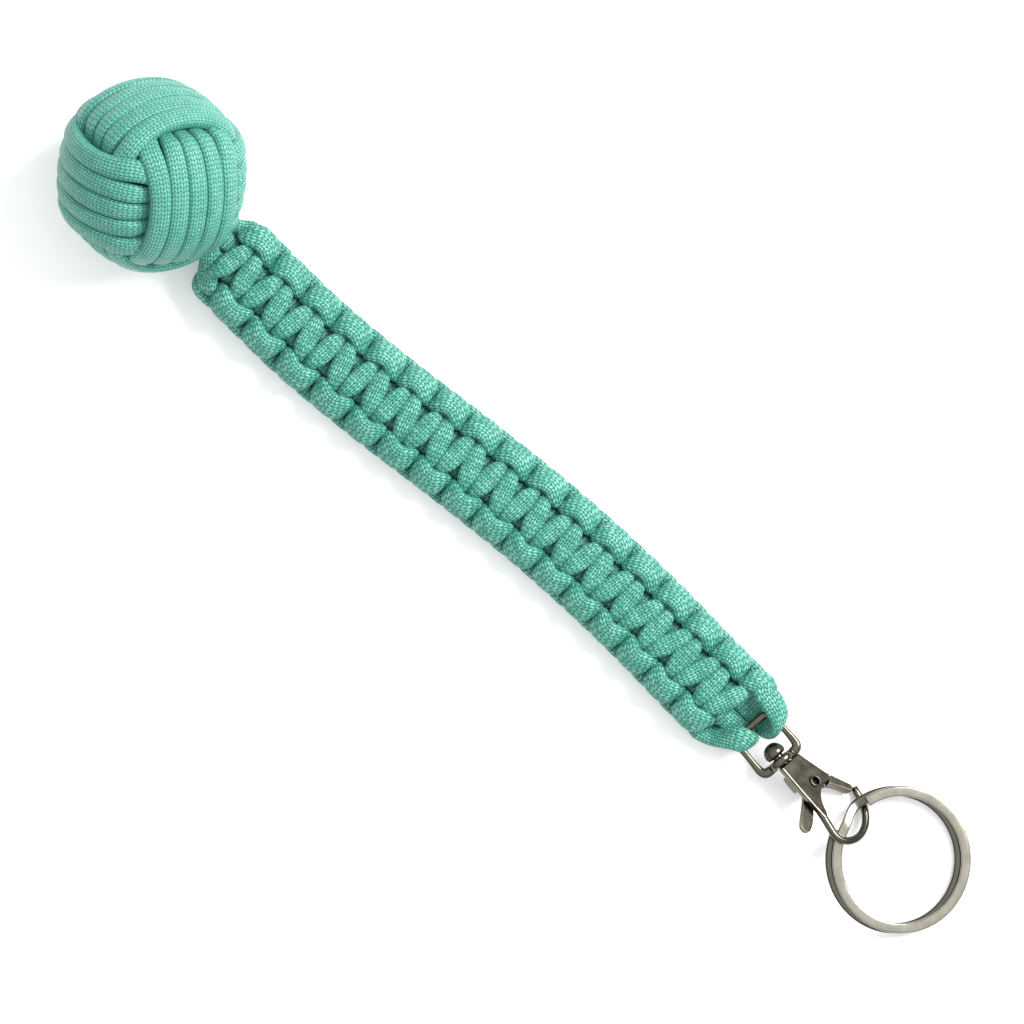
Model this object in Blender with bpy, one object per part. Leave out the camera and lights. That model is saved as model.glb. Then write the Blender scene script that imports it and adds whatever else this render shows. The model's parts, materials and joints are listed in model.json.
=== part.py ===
"""Paracord key fob: monkey's fist ball, cobra-weave lanyard, swivel trigger clasp and split ring.

The fob lies flat on the XY plane with its length along +X, from the ball to the ring.
Sizes below are in millimetres and are turned into metres when a mesh is made.
"""
import math

import bmesh
import bpy
import numpy as np
from mathutils import Matrix, Vector

MM = 0.001
# Place of the model's origin on the measuring line of the lanyard.
ORIGIN = np.array([71.9, 2.3, 0.0])

# Fist: three bands of five turns round a steel ball.
FIST_CENTRE = np.array([-21.5, 2.3, 17.3])
FIST_AXES = np.array([
    [-0.4967, 0.7248, 0.4780],
    [-0.5057, -0.6891, 0.5190],
    [0.7055, 0.0166, 0.7085],
])
FIST_BAND_NAMES = ("first_wrap", "second_wrap", "third_wrap")
CORE_BALL_RADIUS = 9.5
WRAP_TURNS = 5
WRAP_PITCH = 3.83
WRAP_OVER_RADIUS = 15.9
WRAP_OVER_EDGE_RADIUS = 15.1
WRAP_UNDER_RADIUS = 11.87
# Points of a quarter turn: the crown of the face, its rim, and where the cord is under.
WRAP_RIM_ANGLE = 41.8
WRAP_UNDER_ANGLE = 59.3
WRAP_QUARTER_ANGLES = (0.0, 19.9, WRAP_RIM_ANGLE, WRAP_UNDER_ANGLE)
WRAP_CROWN_CORD, WRAP_RIM_CORD, WRAP_UNDER_CORD = 1.65, 1.58, 1.26
WRAP_RIM_SQUEEZE = 0.942
WRAP_UNDER_SQUEEZE = 0.79
WRAP_END_TRIM = 28.0

# Lie of the lanyard: points of its middle line as it rests.
LANYARD_LINE = np.array([
    [-8.0, 0.6, 10.4],
    [0.0, 0.1, 7.6],
    [10.0, -0.5, 5.5],
    [22.0, -0.9, 4.25],
    [38.0, -0.3, 4.05],
    [57.0, 1.1, 4.05],
    [75.0, 2.1, 4.05],
    [90.0, 2.2, 4.05],
    [104.0, 1.7, 4.1],
    [116.0, 0.8, 4.35],
    [127.0, 0.15, 5.15],
    [131.3, -0.1, 5.5],
    [137.7, -0.95, 5.7],
])

# Cobra weave: one half knot covers KNOT_STEP of the lanyard.
KNOT_STEP = 3.76
STRETCH_KNOTS = (7, 6, 7, 6, 7)
WEAVE_START = -1.6
FLEX_GAP = 1.0
CORE_SIDE = 1.95
CORE_RADIUS = 1.3
CORD_END_RADIUS = 0.9
# Quarter of a half knot: along, across, up and cord radius.
KNOT_ROUTE = np.array([
    [1.88, 0.00, 2.88, 1.42],
    [2.59, 2.69, 3.35, 0.85],
    [2.77, 5.85, -0.65, 0.73],
    [1.13, 7.62, -2.68, 1.46],
])
NECK_LENGTH = 2.0

# Eye loops: where the two cords turn round the bar of the eye.
LOOP_SIDE = 1.75
LOOP_TURN_RADIUS = 2.32
LOOP_CORD_RADIUS = 1.25

# Clasp: its own axes run along it, across it and out of its front face.
CLASP_POINT = np.array([137.7, -0.95, 5.7])
CLASP_HEADING = math.radians(-8.0)
HOOK_ROLL = math.radians(34.0)
EYE_BAR_AT = -6.5
EYE_HALF_WIDTH = 4.3
EYE_WIRE_RADIUS = 0.7
EYE_COLLAR = (1.4, 2.9)
EYE_COLLAR_RADIUS = 2.8
EYE_HOLE_RADIUS = 1.45
RIVET_HEAD_RADIUS = 2.25
RIVET_HEAD = (-1.5, 1.1)
RIVET_SHANK_RADIUS = 1.1
RIVET_SHANK_END = 5.2
HOOK_START = 3.2
HOOK_FACE = 1.4
HOOK_PLATE_BACK = 0.1
HOOK_EDGE = 0.22
HOOK_OUTLINE = (
    (3.2, -1.9), (3.2, 2.7), (3.9, 3.2), (7.0, 4.35), (10.6, 5.75), (11.1, 5.0),
    (10.7, 3.2), (11.2, 1.7), (12.3, 0.5), (13.6, -0.2), (15.4, -0.62), (15.6, -1.7),
    (13.5, -1.8), (9.5, -1.9),
)
HOOK_HEAD_OUTLINE = ((3.2, -1.9), (3.2, 2.7), (3.9, 3.2), (6.0, 4.0), (6.0, -1.9))
BOW_LINE = (
    (12.6, -1.15, 0.75, 0.62), (14.8, -1.30, 0.68, 0.80), (17.2, -1.60, 0.50, 0.78), (19.2, -1.80, 0.35, 0.76),
    (20.6, -1.45, 0.2, 0.76), (21.8, -0.35, 0.1, 0.76), (22.5, 1.2, 0.0, 0.76), (22.6, 2.9, 0.0, 0.76),
    (22.0, 4.8, 0.0, 0.76), (20.9, 6.3, 0.0, 0.76), (19.3, 7.5, 0.0, 0.76), (17.6, 8.2, 0.0, 0.76),
    (16.0, 8.4, 0.0, 0.76),
)
PIN_AT = (9.25, 1.95)
PIN_RADIUS = 0.8
PIN_HOLE_RADIUS = 0.95
PIN_RIM_RADIUS = 1.1
PIN_BACK = -3.05
PIN_HEAD_RADIUS = 1.5
PIN_HEAD_THICKNESS = 0.3
LEVER_BACK = -1.2
LEVER_FACE = -0.2
GATE_FACE = 0.8
LEVER_OUTLINE = (
    (7.9, 1.6), (8.1, 3.0), (9.2, 3.9), (10.9, 5.2), (14.35, 8.38), (15.23, 7.48), (13.4, 5.55), (11.9, 4.55),
    (11.05, 3.2), (10.9, 1.6), (12.2, -0.5), (14.2, -2.4), (15.6, -4.6), (15.5, -5.7), (14.6, -6.2),
    (13.5, -5.9), (11.9, -3.5), (10.0, -1.0), (8.4, 0.6),
)
GATE_OUTLINE = ((11.75, 5.9), (14.32, 8.34), (15.17, 7.49), (13.4, 5.65), (12.1, 4.75))
SPRING_COILS = 2.5
SPRING_WIRE_RADIUS = 0.16
SPRING_COIL_RADIUS = 1.35

# Split ring: flat wire wound one and two thirds times.
RING_CENTRE = np.array([168.9, -0.5, 2.85])
RING_RISE = 0.135
RING_RISE_TOWARD = math.radians(221.7)
RING_MEAN_RADIUS = 13.0
RING_WIRE_WIDTH = 2.0
RING_WIRE_THICKNESS = 0.92
RING_COIL_STEP = 1.02
RING_LOWER_END = math.radians(293.1)
RING_OVERLAP_END = math.radians(163.5 + 360.0)
RING_CLIMB_END = math.radians(293.1 + 360.0)
RING_UPPER_END = math.radians(163.5 + 720.0)
RING_SEGMENTS = 84


def remove_everything():
    """Empties the scene of its starting objects."""
    for item in list(bpy.data.objects):
        bpy.data.objects.remove(item, do_unlink=True)


def finish(name, colour, metallic, roughness):
    """Makes one plain material with its own colour."""
    material = bpy.data.materials.new(name)
    material.use_nodes = True
    shader = material.node_tree.nodes["Principled BSDF"]
    shader.inputs["Base Color"].default_value = (*colour, 1.0)
    shader.inputs["Metallic"].default_value = metallic
    shader.inputs["Roughness"].default_value = roughness
    return material


def unit(vector):
    """Returns the vector at length one."""
    return vector / np.linalg.norm(vector)


def add_object(name, mesh, material):
    """Links a finished mesh into the scene with its own material."""
    mesh.name = name
    mesh.materials.clear()
    mesh.materials.append(material.copy())
    mesh.materials[0].name = name + "_finish"
    item = bpy.data.objects.new(name, mesh)
    bpy.context.scene.collection.objects.link(item)
    return item


def mesh_from_bmesh(bm):
    """Turns a bmesh with outward faces into a mesh."""
    bmesh.ops.recalc_face_normals(bm, faces=bm.faces[:])
    mesh = bpy.data.meshes.new("shape")
    bm.to_mesh(mesh)
    bm.free()
    return mesh


def cord_mesh(points, radii):
    """Makes one unbroken six-sided tube with closed ends through the points."""
    curve = bpy.data.curves.new("route", "CURVE")
    curve.dimensions = "3D"
    curve.bevel_depth = MM
    curve.bevel_resolution = 1
    curve.use_fill_caps = True
    spline = curve.splines.new("POLY")
    spline.points.add(len(points) - 1)
    for knot, point, radius in zip(spline.points, points, radii):
        knot.co = (*(point * MM), 1.0)
        knot.radius = radius
    holder = bpy.data.objects.new("route", curve)
    bpy.context.scene.collection.objects.link(holder)
    graph = bpy.context.evaluated_depsgraph_get()
    mesh = bpy.data.meshes.new_from_object(holder.evaluated_get(graph))
    bpy.data.objects.remove(holder, do_unlink=True)
    bpy.data.curves.remove(curve)
    bm = bmesh.new()
    bm.from_mesh(mesh)
    bpy.data.meshes.remove(mesh)
    bmesh.ops.remove_doubles(bm, verts=bm.verts[:], dist=1e-6)
    return mesh_from_bmesh(bm)


def cut_at_floor(mesh):
    """Cuts a cord flat where it rests on the floor."""
    bm = bmesh.new()
    bm.from_mesh(mesh)
    geometry = bm.verts[:] + bm.edges[:] + bm.faces[:]
    bmesh.ops.bisect_plane(
        bm, geom=geometry, dist=1e-7, plane_co=(0, 0, 0), plane_no=(0, 0, 1), clear_inner=True)
    open_edges = [edge for edge in bm.edges if edge.is_boundary]
    bmesh.ops.holes_fill(bm, edges=open_edges, sides=0)
    bmesh.ops.recalc_face_normals(bm, faces=bm.faces[:])
    bm.to_mesh(mesh)
    bm.free()


def add_cord(name, points, radii, material, rests=False):
    """Adds one cord as its own object."""
    mesh = cord_mesh(points - ORIGIN, radii)
    if rests:
        cut_at_floor(mesh)
    return add_object(name, mesh, material)


def along_route(points, radii, step=0.4):
    """Samples a route densely: positions, radii and lengths from the start."""
    lengths = np.concatenate([[0.0], np.cumsum(np.linalg.norm(np.diff(points, axis=0), axis=1))])
    at = np.arange(0.0, lengths[-1], step)
    position = np.array([np.interp(at, lengths, points[:, axis]) for axis in range(3)]).T
    return position, np.interp(at, lengths, radii), at


def least_gap_to_itself(points, radii, skip=9.0):
    """Least clear distance between parts of one cord further apart than skip along it."""
    position, radius, at = along_route(points, radii)
    least = 99.0
    for index in range(len(position)):
        later = at > at[index] + skip
        if later.any():
            reach = np.linalg.norm(position[later] - position[index], axis=1)
            least = min(least, float((reach - radius[later] - radius[index]).min()))
    return least


def least_gap_between(one, other):
    """Least clear distance between two cords, each given as points and radii."""
    position, radius, _ = along_route(*one)
    position_b, radius_b, _ = along_route(*other)
    reach = np.linalg.norm(position[:, None] - position_b[None], axis=2)
    return float((reach - radius[:, None] - radius_b[None]).min())


# Fist

def band_angles():
    """Angles of the points of one band, from its first hidden end to its last."""
    quarter = np.array(WRAP_QUARTER_ANGLES)
    half = np.concatenate([quarter, [90.0], 180.0 - quarter[:0:-1]])
    turn = np.concatenate([half, half + 180.0])
    angles = np.concatenate([turn + 360.0 * count for count in range(-1, WRAP_TURNS)])
    first = -90.0 + WRAP_END_TRIM
    last = 360.0 * WRAP_TURNS - 90.0 - WRAP_END_TRIM
    return angles[(angles >= first) & (angles <= last)]


def band_route(axis_index):
    """Route of one band: over the two faces next to its axis, under on the other two."""
    axis = FIST_AXES[axis_index]
    over = FIST_AXES[(axis_index + 1) % 3]
    under = FIST_AXES[(axis_index + 2) % 3]
    points = []
    radii = []
    half_width = WRAP_PITCH * (WRAP_TURNS - 1) / 2
    for angle in band_angles():
        from_over = abs((angle + 90.0) % 180.0 - 90.0)
        turn = math.floor((angle + 90.0) / 360.0)
        near_step = ((angle + 90.0 + 180.0) % 360.0) - 180.0
        step = 0.5 * np.clip(near_step / WRAP_END_TRIM, -1.0, 1.0)
        passed = turn + (step - 0.5 if near_step >= 0 else step + 0.5)
        place = WRAP_PITCH * passed - half_width
        share = min(1.0, (place / half_width) ** 2)
        reach = WRAP_OVER_RADIUS + (WRAP_OVER_EDGE_RADIUS - WRAP_OVER_RADIUS) * share
        radius = WRAP_CROWN_CORD
        if from_over > WRAP_UNDER_ANGLE - 1.0:
            place *= WRAP_UNDER_SQUEEZE
            reach = math.sqrt(WRAP_UNDER_RADIUS ** 2 - place ** 2)
            radius = WRAP_UNDER_CORD
        elif from_over > WRAP_RIM_ANGLE - 1.0:
            place *= WRAP_RIM_SQUEEZE
            radius = WRAP_RIM_CORD
        turned = math.radians(angle)
        direction = over * math.cos(turned) + under * math.sin(turned)
        points.append(FIST_CENTRE + axis * place + direction * reach)
        radii.append(radius)
    return np.array(points), np.array(radii)


def build_fist(cord, steel):
    """Three bands and the steel ball they are wound on."""
    routes = [band_route(index) for index in range(3)]
    for name, (points, radii) in zip(FIST_BAND_NAMES, routes):
        add_cord(name, points, radii, cord, rests=True)
        print("gap of", name, "to itself", round(least_gap_to_itself(points, radii), 3), "mm")
    for first, second in ((0, 1), (1, 2), (0, 2)):
        gap = least_gap_between(routes[first], routes[second])
        print("gap between bands", first + 1, "and", second + 1, round(gap, 3), "mm")
    bm = bmesh.new()
    bmesh.ops.create_icosphere(bm, subdivisions=3, radius=CORE_BALL_RADIUS * MM)
    bmesh.ops.translate(bm, verts=bm.verts[:], vec=Vector((FIST_CENTRE - ORIGIN) * MM))
    add_object("core_ball", mesh_from_bmesh(bm), steel)


# Lanyard

class MiddleLine:
    """Smooth middle line of the lanyard with its own frame at every length."""

    def __init__(self, points):
        self.points = points
        spans = len(points) - 1
        samples = [self.curve(span, t) for span in range(spans) for t in np.linspace(0, 1, 40, endpoint=False)]
        samples.append(points[-1])
        self.samples = np.array(samples)
        pieces = np.linalg.norm(np.diff(self.samples, axis=0), axis=1)
        self.lengths = np.concatenate([[0.0], np.cumsum(pieces)])
        start = np.interp(0.0, self.samples[:, 0], self.lengths)
        self.lengths -= start

    def curve(self, span, t):
        """Point of a Catmull-Rom curve through the given points."""
        last = len(self.points) - 1
        before = self.points[max(span - 1, 0)]
        start = self.points[span]
        end = self.points[span + 1]
        after = self.points[min(span + 2, last)]
        leave = (end - before) / 2
        arrive = (after - start) / 2
        return (
            start * (2 * t ** 3 - 3 * t ** 2 + 1) + leave * (t ** 3 - 2 * t ** 2 + t)
            + end * (3 * t ** 2 - 2 * t ** 3) + arrive * (t ** 3 - t ** 2))

    def at(self, length):
        """Point of the line at a length from the start of the weave."""
        return np.array([np.interp(length, self.lengths, self.samples[:, axis]) for axis in range(3)])

    def frame(self, length):
        """Directions along, across and up at a length."""
        along = unit(self.at(length + 2.0) - self.at(length - 2.0))
        across = unit(np.array([-along[1], along[0], 0.0]))
        return along, across, np.cross(along, across)

    def place(self, local):
        """World point of a place given along, across and up."""
        along, across, up = self.frame(local[0])
        return self.at(local[0]) + across * local[1] + up * local[2]


def knot_points(index):
    """Front cord's route through one half knot, as rows of along, across, up and radius."""
    before = KNOT_ROUTE * np.array([-1.0, 1.0, 1.0, 1.0])
    rows = np.vstack([before, KNOT_ROUTE[:0:-1]])
    rows[:, 0] += index * KNOT_STEP
    if index % 2:
        rows[:, 1] *= -1
    return rows


def front_cord_rows(first, count):
    """Front cord from one side bump's middle to another, count half knots on."""
    rows = np.vstack([knot_points(index) for index in range(first, first + count + 1)])
    low = first * KNOT_STEP
    high = (first + count) * KNOT_STEP
    inside = rows[(rows[:, 0] > low) & (rows[:, 0] < high)]
    bump = KNOT_ROUTE[3]
    ends = []
    for index in (first, first + count):
        side = -1.0 if index % 2 else 1.0
        ends.append([index * KNOT_STEP, bump[1] * side, bump[2], CORD_END_RADIUS])
    rows = np.vstack([ends[0], inside, ends[1]])
    rows[:, 0] -= low
    return rows


def back_cord_rows(first, count):
    """Back cord: the front cord's route one half knot on, turned over."""
    rows = front_cord_rows(first + 1, count)
    rows[:, 2] *= -1
    return rows


def core_rows(side, length):
    """One straight core strand with narrowed ends."""
    return np.array([
        [0.0, side, 0.0, CORD_END_RADIUS],
        [0.8, side, 0.0, CORE_RADIUS],
        [length - 0.8, side, 0.0, CORE_RADIUS],
        [length, side, 0.0, CORD_END_RADIUS],
    ])


def placed(line, rows, start):
    """World points and radii of rows given from a start length."""
    shifted = rows.copy()
    shifted[:, 0] += start
    return np.array([line.place(row) for row in shifted]), rows[:, 3]


def build_lanyard(line, cord):
    """Five stretches of the weave, each with two core strands and two working cords."""
    start = WEAVE_START
    first = 0
    for number, count in enumerate(STRETCH_KNOTS, start=1):
        length = count * KNOT_STEP
        shapes = {
            "core_left": core_rows(CORE_SIDE, length),
            "core_right": core_rows(-CORE_SIDE, length),
            "cord_front": front_cord_rows(first, count),
            "cord_back": back_cord_rows(first, count),
        }
        routes = {}
        for part, rows in shapes.items():
            points, radii = placed(line, rows, start)
            routes[part] = (points, radii)
            add_cord("stretch_%d_%s" % (number, part), points, radii, cord, rests=part.startswith("cord"))
        front, back = routes["cord_front"], routes["cord_back"]
        print("stretch", number, "gaps to itself", round(least_gap_to_itself(*front, skip=5.5), 3),
              round(least_gap_to_itself(*back, skip=5.5), 3),
              "between cords", round(least_gap_between(front, back), 3), "mm")
        start += length
        along, across, _ = line.frame(start + FLEX_GAP / 2)
        print("boundary", number, "at", (line.at(start + FLEX_GAP / 2) - ORIGIN).round(3), "axis", across.round(4))
        start += FLEX_GAP
        first += count
    return start - FLEX_GAP


def build_neck(line, cord):
    """The two strands between the ball and the weave."""
    for name, side in (("neck_strand_left", CORE_SIDE), ("neck_strand_right", -CORE_SIDE)):
        points, radii = placed(line, core_rows(side, NECK_LENGTH), WEAVE_START - FLEX_GAP - NECK_LENGTH)
        add_cord(name, points, radii, cord)
    for label, length in (("neck to weave", WEAVE_START - FLEX_GAP / 2),
                          ("fist to neck", WEAVE_START - FLEX_GAP - NECK_LENGTH - 0.3)):
        _, across, up = line.frame(length)
        print(label, (line.at(length) - ORIGIN).round(3), "across", across.round(4), "up", up.round(4))


def build_eye_loops(line, end, cord):
    """Each core strand goes round the bar of the eye and comes back as a working cord."""
    bar = CLASP_POINT + clasp_axes(0.0)[0] * EYE_BAR_AT
    bar_length = float(np.interp(bar[0], line.samples[:, 0], line.lengths))
    turn = LOOP_TURN_RADIUS
    rows = [
        [end + 1.0, CORE_SIDE, 0.0, 0.9],
        [end + 2.2, CORE_SIDE - 0.1, 0.9, LOOP_CORD_RADIUS],
        [bar_length - 1.4, LOOP_SIDE, turn * 0.98, LOOP_CORD_RADIUS],
    ]
    for angle in (70.0, 35.0, 0.0, -35.0, -70.0):
        turned = math.radians(angle)
        along = bar_length + turn * math.cos(turned)
        rows.append([along, LOOP_SIDE, turn * math.sin(turned), LOOP_CORD_RADIUS])
    rows.append([bar_length - 1.8, LOOP_SIDE + 0.3, -turn * 1.02, LOOP_CORD_RADIUS])
    rows.append([end + 2.3, 5.2, -2.65, LOOP_CORD_RADIUS])
    rows.append([end + 1.1, 7.0, -2.68, 0.9])
    rows = np.array(rows)
    over = rows * np.array([1.0, -1.0, 1.0, 1.0])
    under = rows * np.array([1.0, 1.0, -1.0, 1.0])
    for name, table in (("eye_loop_left", under), ("eye_loop_right", over)):
        points = np.array([line.place(row) for row in table])
        add_cord(name, points, table[:, 3], cord)
    print("eye bar", (bar - ORIGIN).round(3), "axis", clasp_axes(0.0)[1].round(4))


# Clasp

def clasp_axes(roll):
    """Directions along, across and out of the front face of the clasp."""
    along = np.array([math.cos(CLASP_HEADING), math.sin(CLASP_HEADING), 0.0])
    level = np.array([-math.sin(CLASP_HEADING), math.cos(CLASP_HEADING), 0.0])
    up = np.array([0.0, 0.0, 1.0])
    across = level * math.cos(roll) - up * math.sin(roll)
    face = level * math.sin(roll) + up * math.cos(roll)
    return np.array([along, across, face])


def clasp_matrix(roll):
    """Matrix from clasp millimetres to model metres."""
    axes = clasp_axes(roll)
    place = (CLASP_POINT - ORIGIN) * MM
    matrix = Matrix.Identity(4)
    for column in range(3):
        for row in range(3):
            matrix[row][column] = axes[column][row] * MM
    for row in range(3):
        matrix[row][3] = place[row]
    return matrix


def prism(outline, back, face, edge=0.0):
    """Upright plate with the given outline and slightly broken front and back edges."""
    bm = bmesh.new()
    low = [bm.verts.new((a, b, back)) for a, b in outline]
    high = [bm.verts.new((a, b, face)) for a, b in outline]
    count = len(outline)
    bm.faces.new(low[::-1])
    bm.faces.new(high)
    for index in range(count):
        after = (index + 1) % count
        bm.faces.new((low[index], low[after], high[after], high[index]))
    bmesh.ops.recalc_face_normals(bm, faces=bm.faces[:])
    if edge:
        rims = [e for e in bm.edges if abs(e.verts[0].co.z - e.verts[1].co.z) < 1e-6]
        bmesh.ops.bevel(bm, geom=rims, offset=edge, segments=2, profile=0.5, affect="EDGES")
    return bm


def turned_solid(profile, sides=32):
    """Solid of revolution about the clasp's long axis from pairs of along and radius."""
    bm = bmesh.new()
    rings = []
    for along, radius in profile:
        if radius < 1e-6:
            rings.append([bm.verts.new((along, 0, 0))])
            continue
        ring = []
        for index in range(sides):
            angle = 2 * math.pi * index / sides
            ring.append(bm.verts.new((along, radius * math.cos(angle), radius * math.sin(angle))))
        rings.append(ring)
    for one, two in zip(rings, rings[1:]):
        for index in range(sides):
            after = (index + 1) % sides
            corners = [one[index % len(one)], one[after % len(one)], two[after % len(two)], two[index % len(two)]]
            bm.faces.new(list(dict.fromkeys(corners)))
    bmesh.ops.recalc_face_normals(bm, faces=bm.faces[:])
    return bm


def round_bar(rows, sides=12):
    """Tube through rows of along, across, face and radius, made in clasp millimetres."""
    rows = np.array(rows, dtype=float)
    centres = rows[:, :3]
    bm = bmesh.new()
    rings = []
    normal = np.array([0.0, 0.0, 1.0])
    for index, centre in enumerate(centres):
        before = centres[max(index - 1, 0)]
        after = centres[min(index + 1, len(centres) - 1)]
        along = unit(after - before)
        side = unit(np.cross(normal, along))
        up = np.cross(along, side)
        ring = []
        for count in range(sides):
            angle = 2 * math.pi * (count + 0.5) / sides
            ring.append(bm.verts.new(centre + rows[index, 3] * (side * math.cos(angle) + up * math.sin(angle))))
        rings.append(ring)
    for one, two in zip(rings, rings[1:]):
        for count in range(sides):
            after = (count + 1) % sides
            bm.faces.new((one[count], one[after], two[after], two[count]))
    bm.faces.new(rings[0][::-1])
    bm.faces.new(rings[-1])
    bmesh.ops.recalc_face_normals(bm, faces=bm.faces[:])
    return bm


def upright_pin(centre, radius, back, face, sides=24):
    """Cylinder standing out of the clasp's plane."""
    outline = [
        (centre[0] + radius * math.cos(2 * math.pi * k / sides), centre[1] + radius * math.sin(2 * math.pi * k / sides))
        for k in range(sides)]
    return prism(outline, back, face)


def combine(pieces):
    """Joins and cuts solids one after the other; the first is the start."""
    base = bpy.data.objects.new("base", mesh_from_bmesh(pieces[0][1]))
    bpy.context.scene.collection.objects.link(base)
    for operation, bm in pieces[1:]:
        tool = bpy.data.objects.new("tool", mesh_from_bmesh(bm))
        bpy.context.scene.collection.objects.link(tool)
        modifier = base.modifiers.new("join", "BOOLEAN")
        modifier.operation = operation
        modifier.solver = "EXACT"
        modifier.object = tool
        graph = bpy.context.evaluated_depsgraph_get()
        mesh = bpy.data.meshes.new_from_object(base.evaluated_get(graph))
        base.modifiers.clear()
        base.data = mesh
        bpy.data.objects.remove(tool, do_unlink=True)
    bm = bmesh.new()
    bm.from_mesh(base.data)
    bpy.data.objects.remove(base, do_unlink=True)
    bmesh.ops.remove_doubles(bm, verts=bm.verts[:], dist=0.002)
    bmesh.ops.dissolve_degenerate(bm, edges=bm.edges[:], dist=0.002)
    return bm


def add_clasp_piece(name, bm, roll, material):
    """Adds a clasp piece made in clasp millimetres."""
    bmesh.ops.transform(bm, matrix=clasp_matrix(roll), verts=bm.verts[:])
    bmesh.ops.triangulate(bm, faces=bm.faces[:])
    return add_object(name, mesh_from_bmesh(bm), material)


def build_eye(metal):
    """Wire stirrup with the collar that the rivet turns in."""
    side = EYE_HALF_WIDTH
    radius = EYE_WIRE_RADIUS
    half = [
        (2.15, 1.9), (2.0, 3.1), (1.35, 3.95), (0.3, side), (-2.5, side), (-5.2, side),
        (-6.1, side - 0.4), (EYE_BAR_AT, side - 1.3), (EYE_BAR_AT, 1.0),
    ]
    route = [(a, -b, 0.0, radius) for a, b in half] + [(a, b, 0.0, radius) for a, b in half[::-1]]
    wire = round_bar(route, 10)
    low, high = EYE_COLLAR
    edge = 0.25
    outer = EYE_COLLAR_RADIUS
    collar = turned_solid([
        (low, EYE_HOLE_RADIUS), (low, outer - edge), (low + edge, outer), (high - edge, outer),
        (high, outer - edge), (high, EYE_HOLE_RADIUS), (low, EYE_HOLE_RADIUS)])
    bmesh.ops.remove_doubles(collar, verts=collar.verts[:], dist=1e-6)
    passage = turned_solid([(low - 2, 0), (low - 2, EYE_HOLE_RADIUS), (high + 2, EYE_HOLE_RADIUS), (high + 2, 0)])
    add_clasp_piece("eye", combine([("", collar), ("UNION", wire), ("DIFFERENCE", passage)]), 0.0, metal)


def build_rivet(metal):
    """Domed hollow head inside the eye on a shank that ends in the hook."""
    low, high = RIVET_HEAD
    radius = RIVET_HEAD_RADIUS
    profile = [(low + 1.0, 0.0), (low + 0.95, 0.6), (low + 0.5, 0.95), (low + 0.05, 1.1)]
    for angle in (75.0, 55.0, 35.0, 15.0):
        turned = math.radians(angle)
        profile.append((low + 1.9 - 1.85 * math.sin(turned), 0.85 + (radius - 0.85) * math.cos(turned) ** 0.8))
    profile += [(high - 0.15, radius), (high, radius - 0.15), (high, RIVET_SHANK_RADIUS),
                (RIVET_SHANK_END, RIVET_SHANK_RADIUS), (RIVET_SHANK_END, 0.0)]
    add_clasp_piece("swivel_rivet", turned_solid(profile, 24), HOOK_ROLL, metal)


def build_hook(metal):
    """Cast hook: front plate, solid head, curved bow and open back for the lever."""
    plate = prism(HOOK_OUTLINE, HOOK_PLATE_BACK, HOOK_FACE, HOOK_EDGE)
    head = prism(HOOK_HEAD_OUTLINE, -HOOK_FACE, HOOK_FACE - 0.3, HOOK_EDGE)
    bow = round_bar(BOW_LINE, 12)
    socket = turned_solid([
        (HOOK_START - 1, 0), (HOOK_START - 1, RIVET_SHANK_RADIUS + 0.15),
        (RIVET_SHANK_END + 0.2, RIVET_SHANK_RADIUS + 0.15), (RIVET_SHANK_END + 0.2, 0)], 24)
    hole = upright_pin(PIN_AT, PIN_HOLE_RADIUS, -3.0, 3.0)
    hook = combine([
        ("", plate), ("UNION", head), ("UNION", bow), ("DIFFERENCE", socket), ("DIFFERENCE", hole)])
    add_clasp_piece("hook", hook, HOOK_ROLL, metal)


def build_pin(metal):
    """Gate pin with a raised rim on the front and a hollow middle."""
    bm = bmesh.new()
    sides = 24
    rings = []
    for radius, face in (
            (PIN_HEAD_RADIUS, PIN_BACK - PIN_HEAD_THICKNESS), (PIN_HEAD_RADIUS, PIN_BACK),
            (PIN_RADIUS, PIN_BACK), (PIN_RADIUS, HOOK_FACE + 0.12), (PIN_RIM_RADIUS, HOOK_FACE + 0.12),
            (PIN_RIM_RADIUS, HOOK_FACE + 0.3), (PIN_RIM_RADIUS - 0.15, HOOK_FACE + 0.42),
            (0.62, HOOK_FACE + 0.42), (0.55, HOOK_FACE - 0.25)):
        ring = []
        for index in range(sides):
            angle = 2 * math.pi * index / sides
            ring.append(bm.verts.new((
                PIN_AT[0] + radius * math.cos(angle), PIN_AT[1] + radius * math.sin(angle), face)))
        rings.append(ring)
    for one, two in zip(rings, rings[1:]):
        for index in range(sides):
            after = (index + 1) % sides
            bm.faces.new((one[index], one[after], two[after], two[index]))
    bm.faces.new(rings[0][::-1])
    bm.faces.new(rings[-1])
    add_clasp_piece("gate_pin", bm, HOOK_ROLL, metal)


def build_lever(metal):
    """Gate arm, hub and thumb tab in one lever that turns on the pin."""
    lever = prism(LEVER_OUTLINE, LEVER_BACK, LEVER_FACE, 0.15)
    gate = prism(GATE_OUTLINE, LEVER_BACK + 0.3, GATE_FACE, 0.15)
    hole = upright_pin(PIN_AT, PIN_HOLE_RADIUS, -3.0, 3.0)
    bm = combine([("", lever), ("UNION", gate), ("DIFFERENCE", hole)])
    centre = clasp_matrix(HOOK_ROLL) @ Vector((*PIN_AT, 0.0))
    item = add_clasp_piece("gate_lever", bm, HOOK_ROLL, metal)
    item.data.transform(Matrix.Translation(-centre))
    item.location = centre
    print("gate pin", centre[:], "axis", clasp_axes(HOOK_ROLL)[2].round(4))


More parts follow.
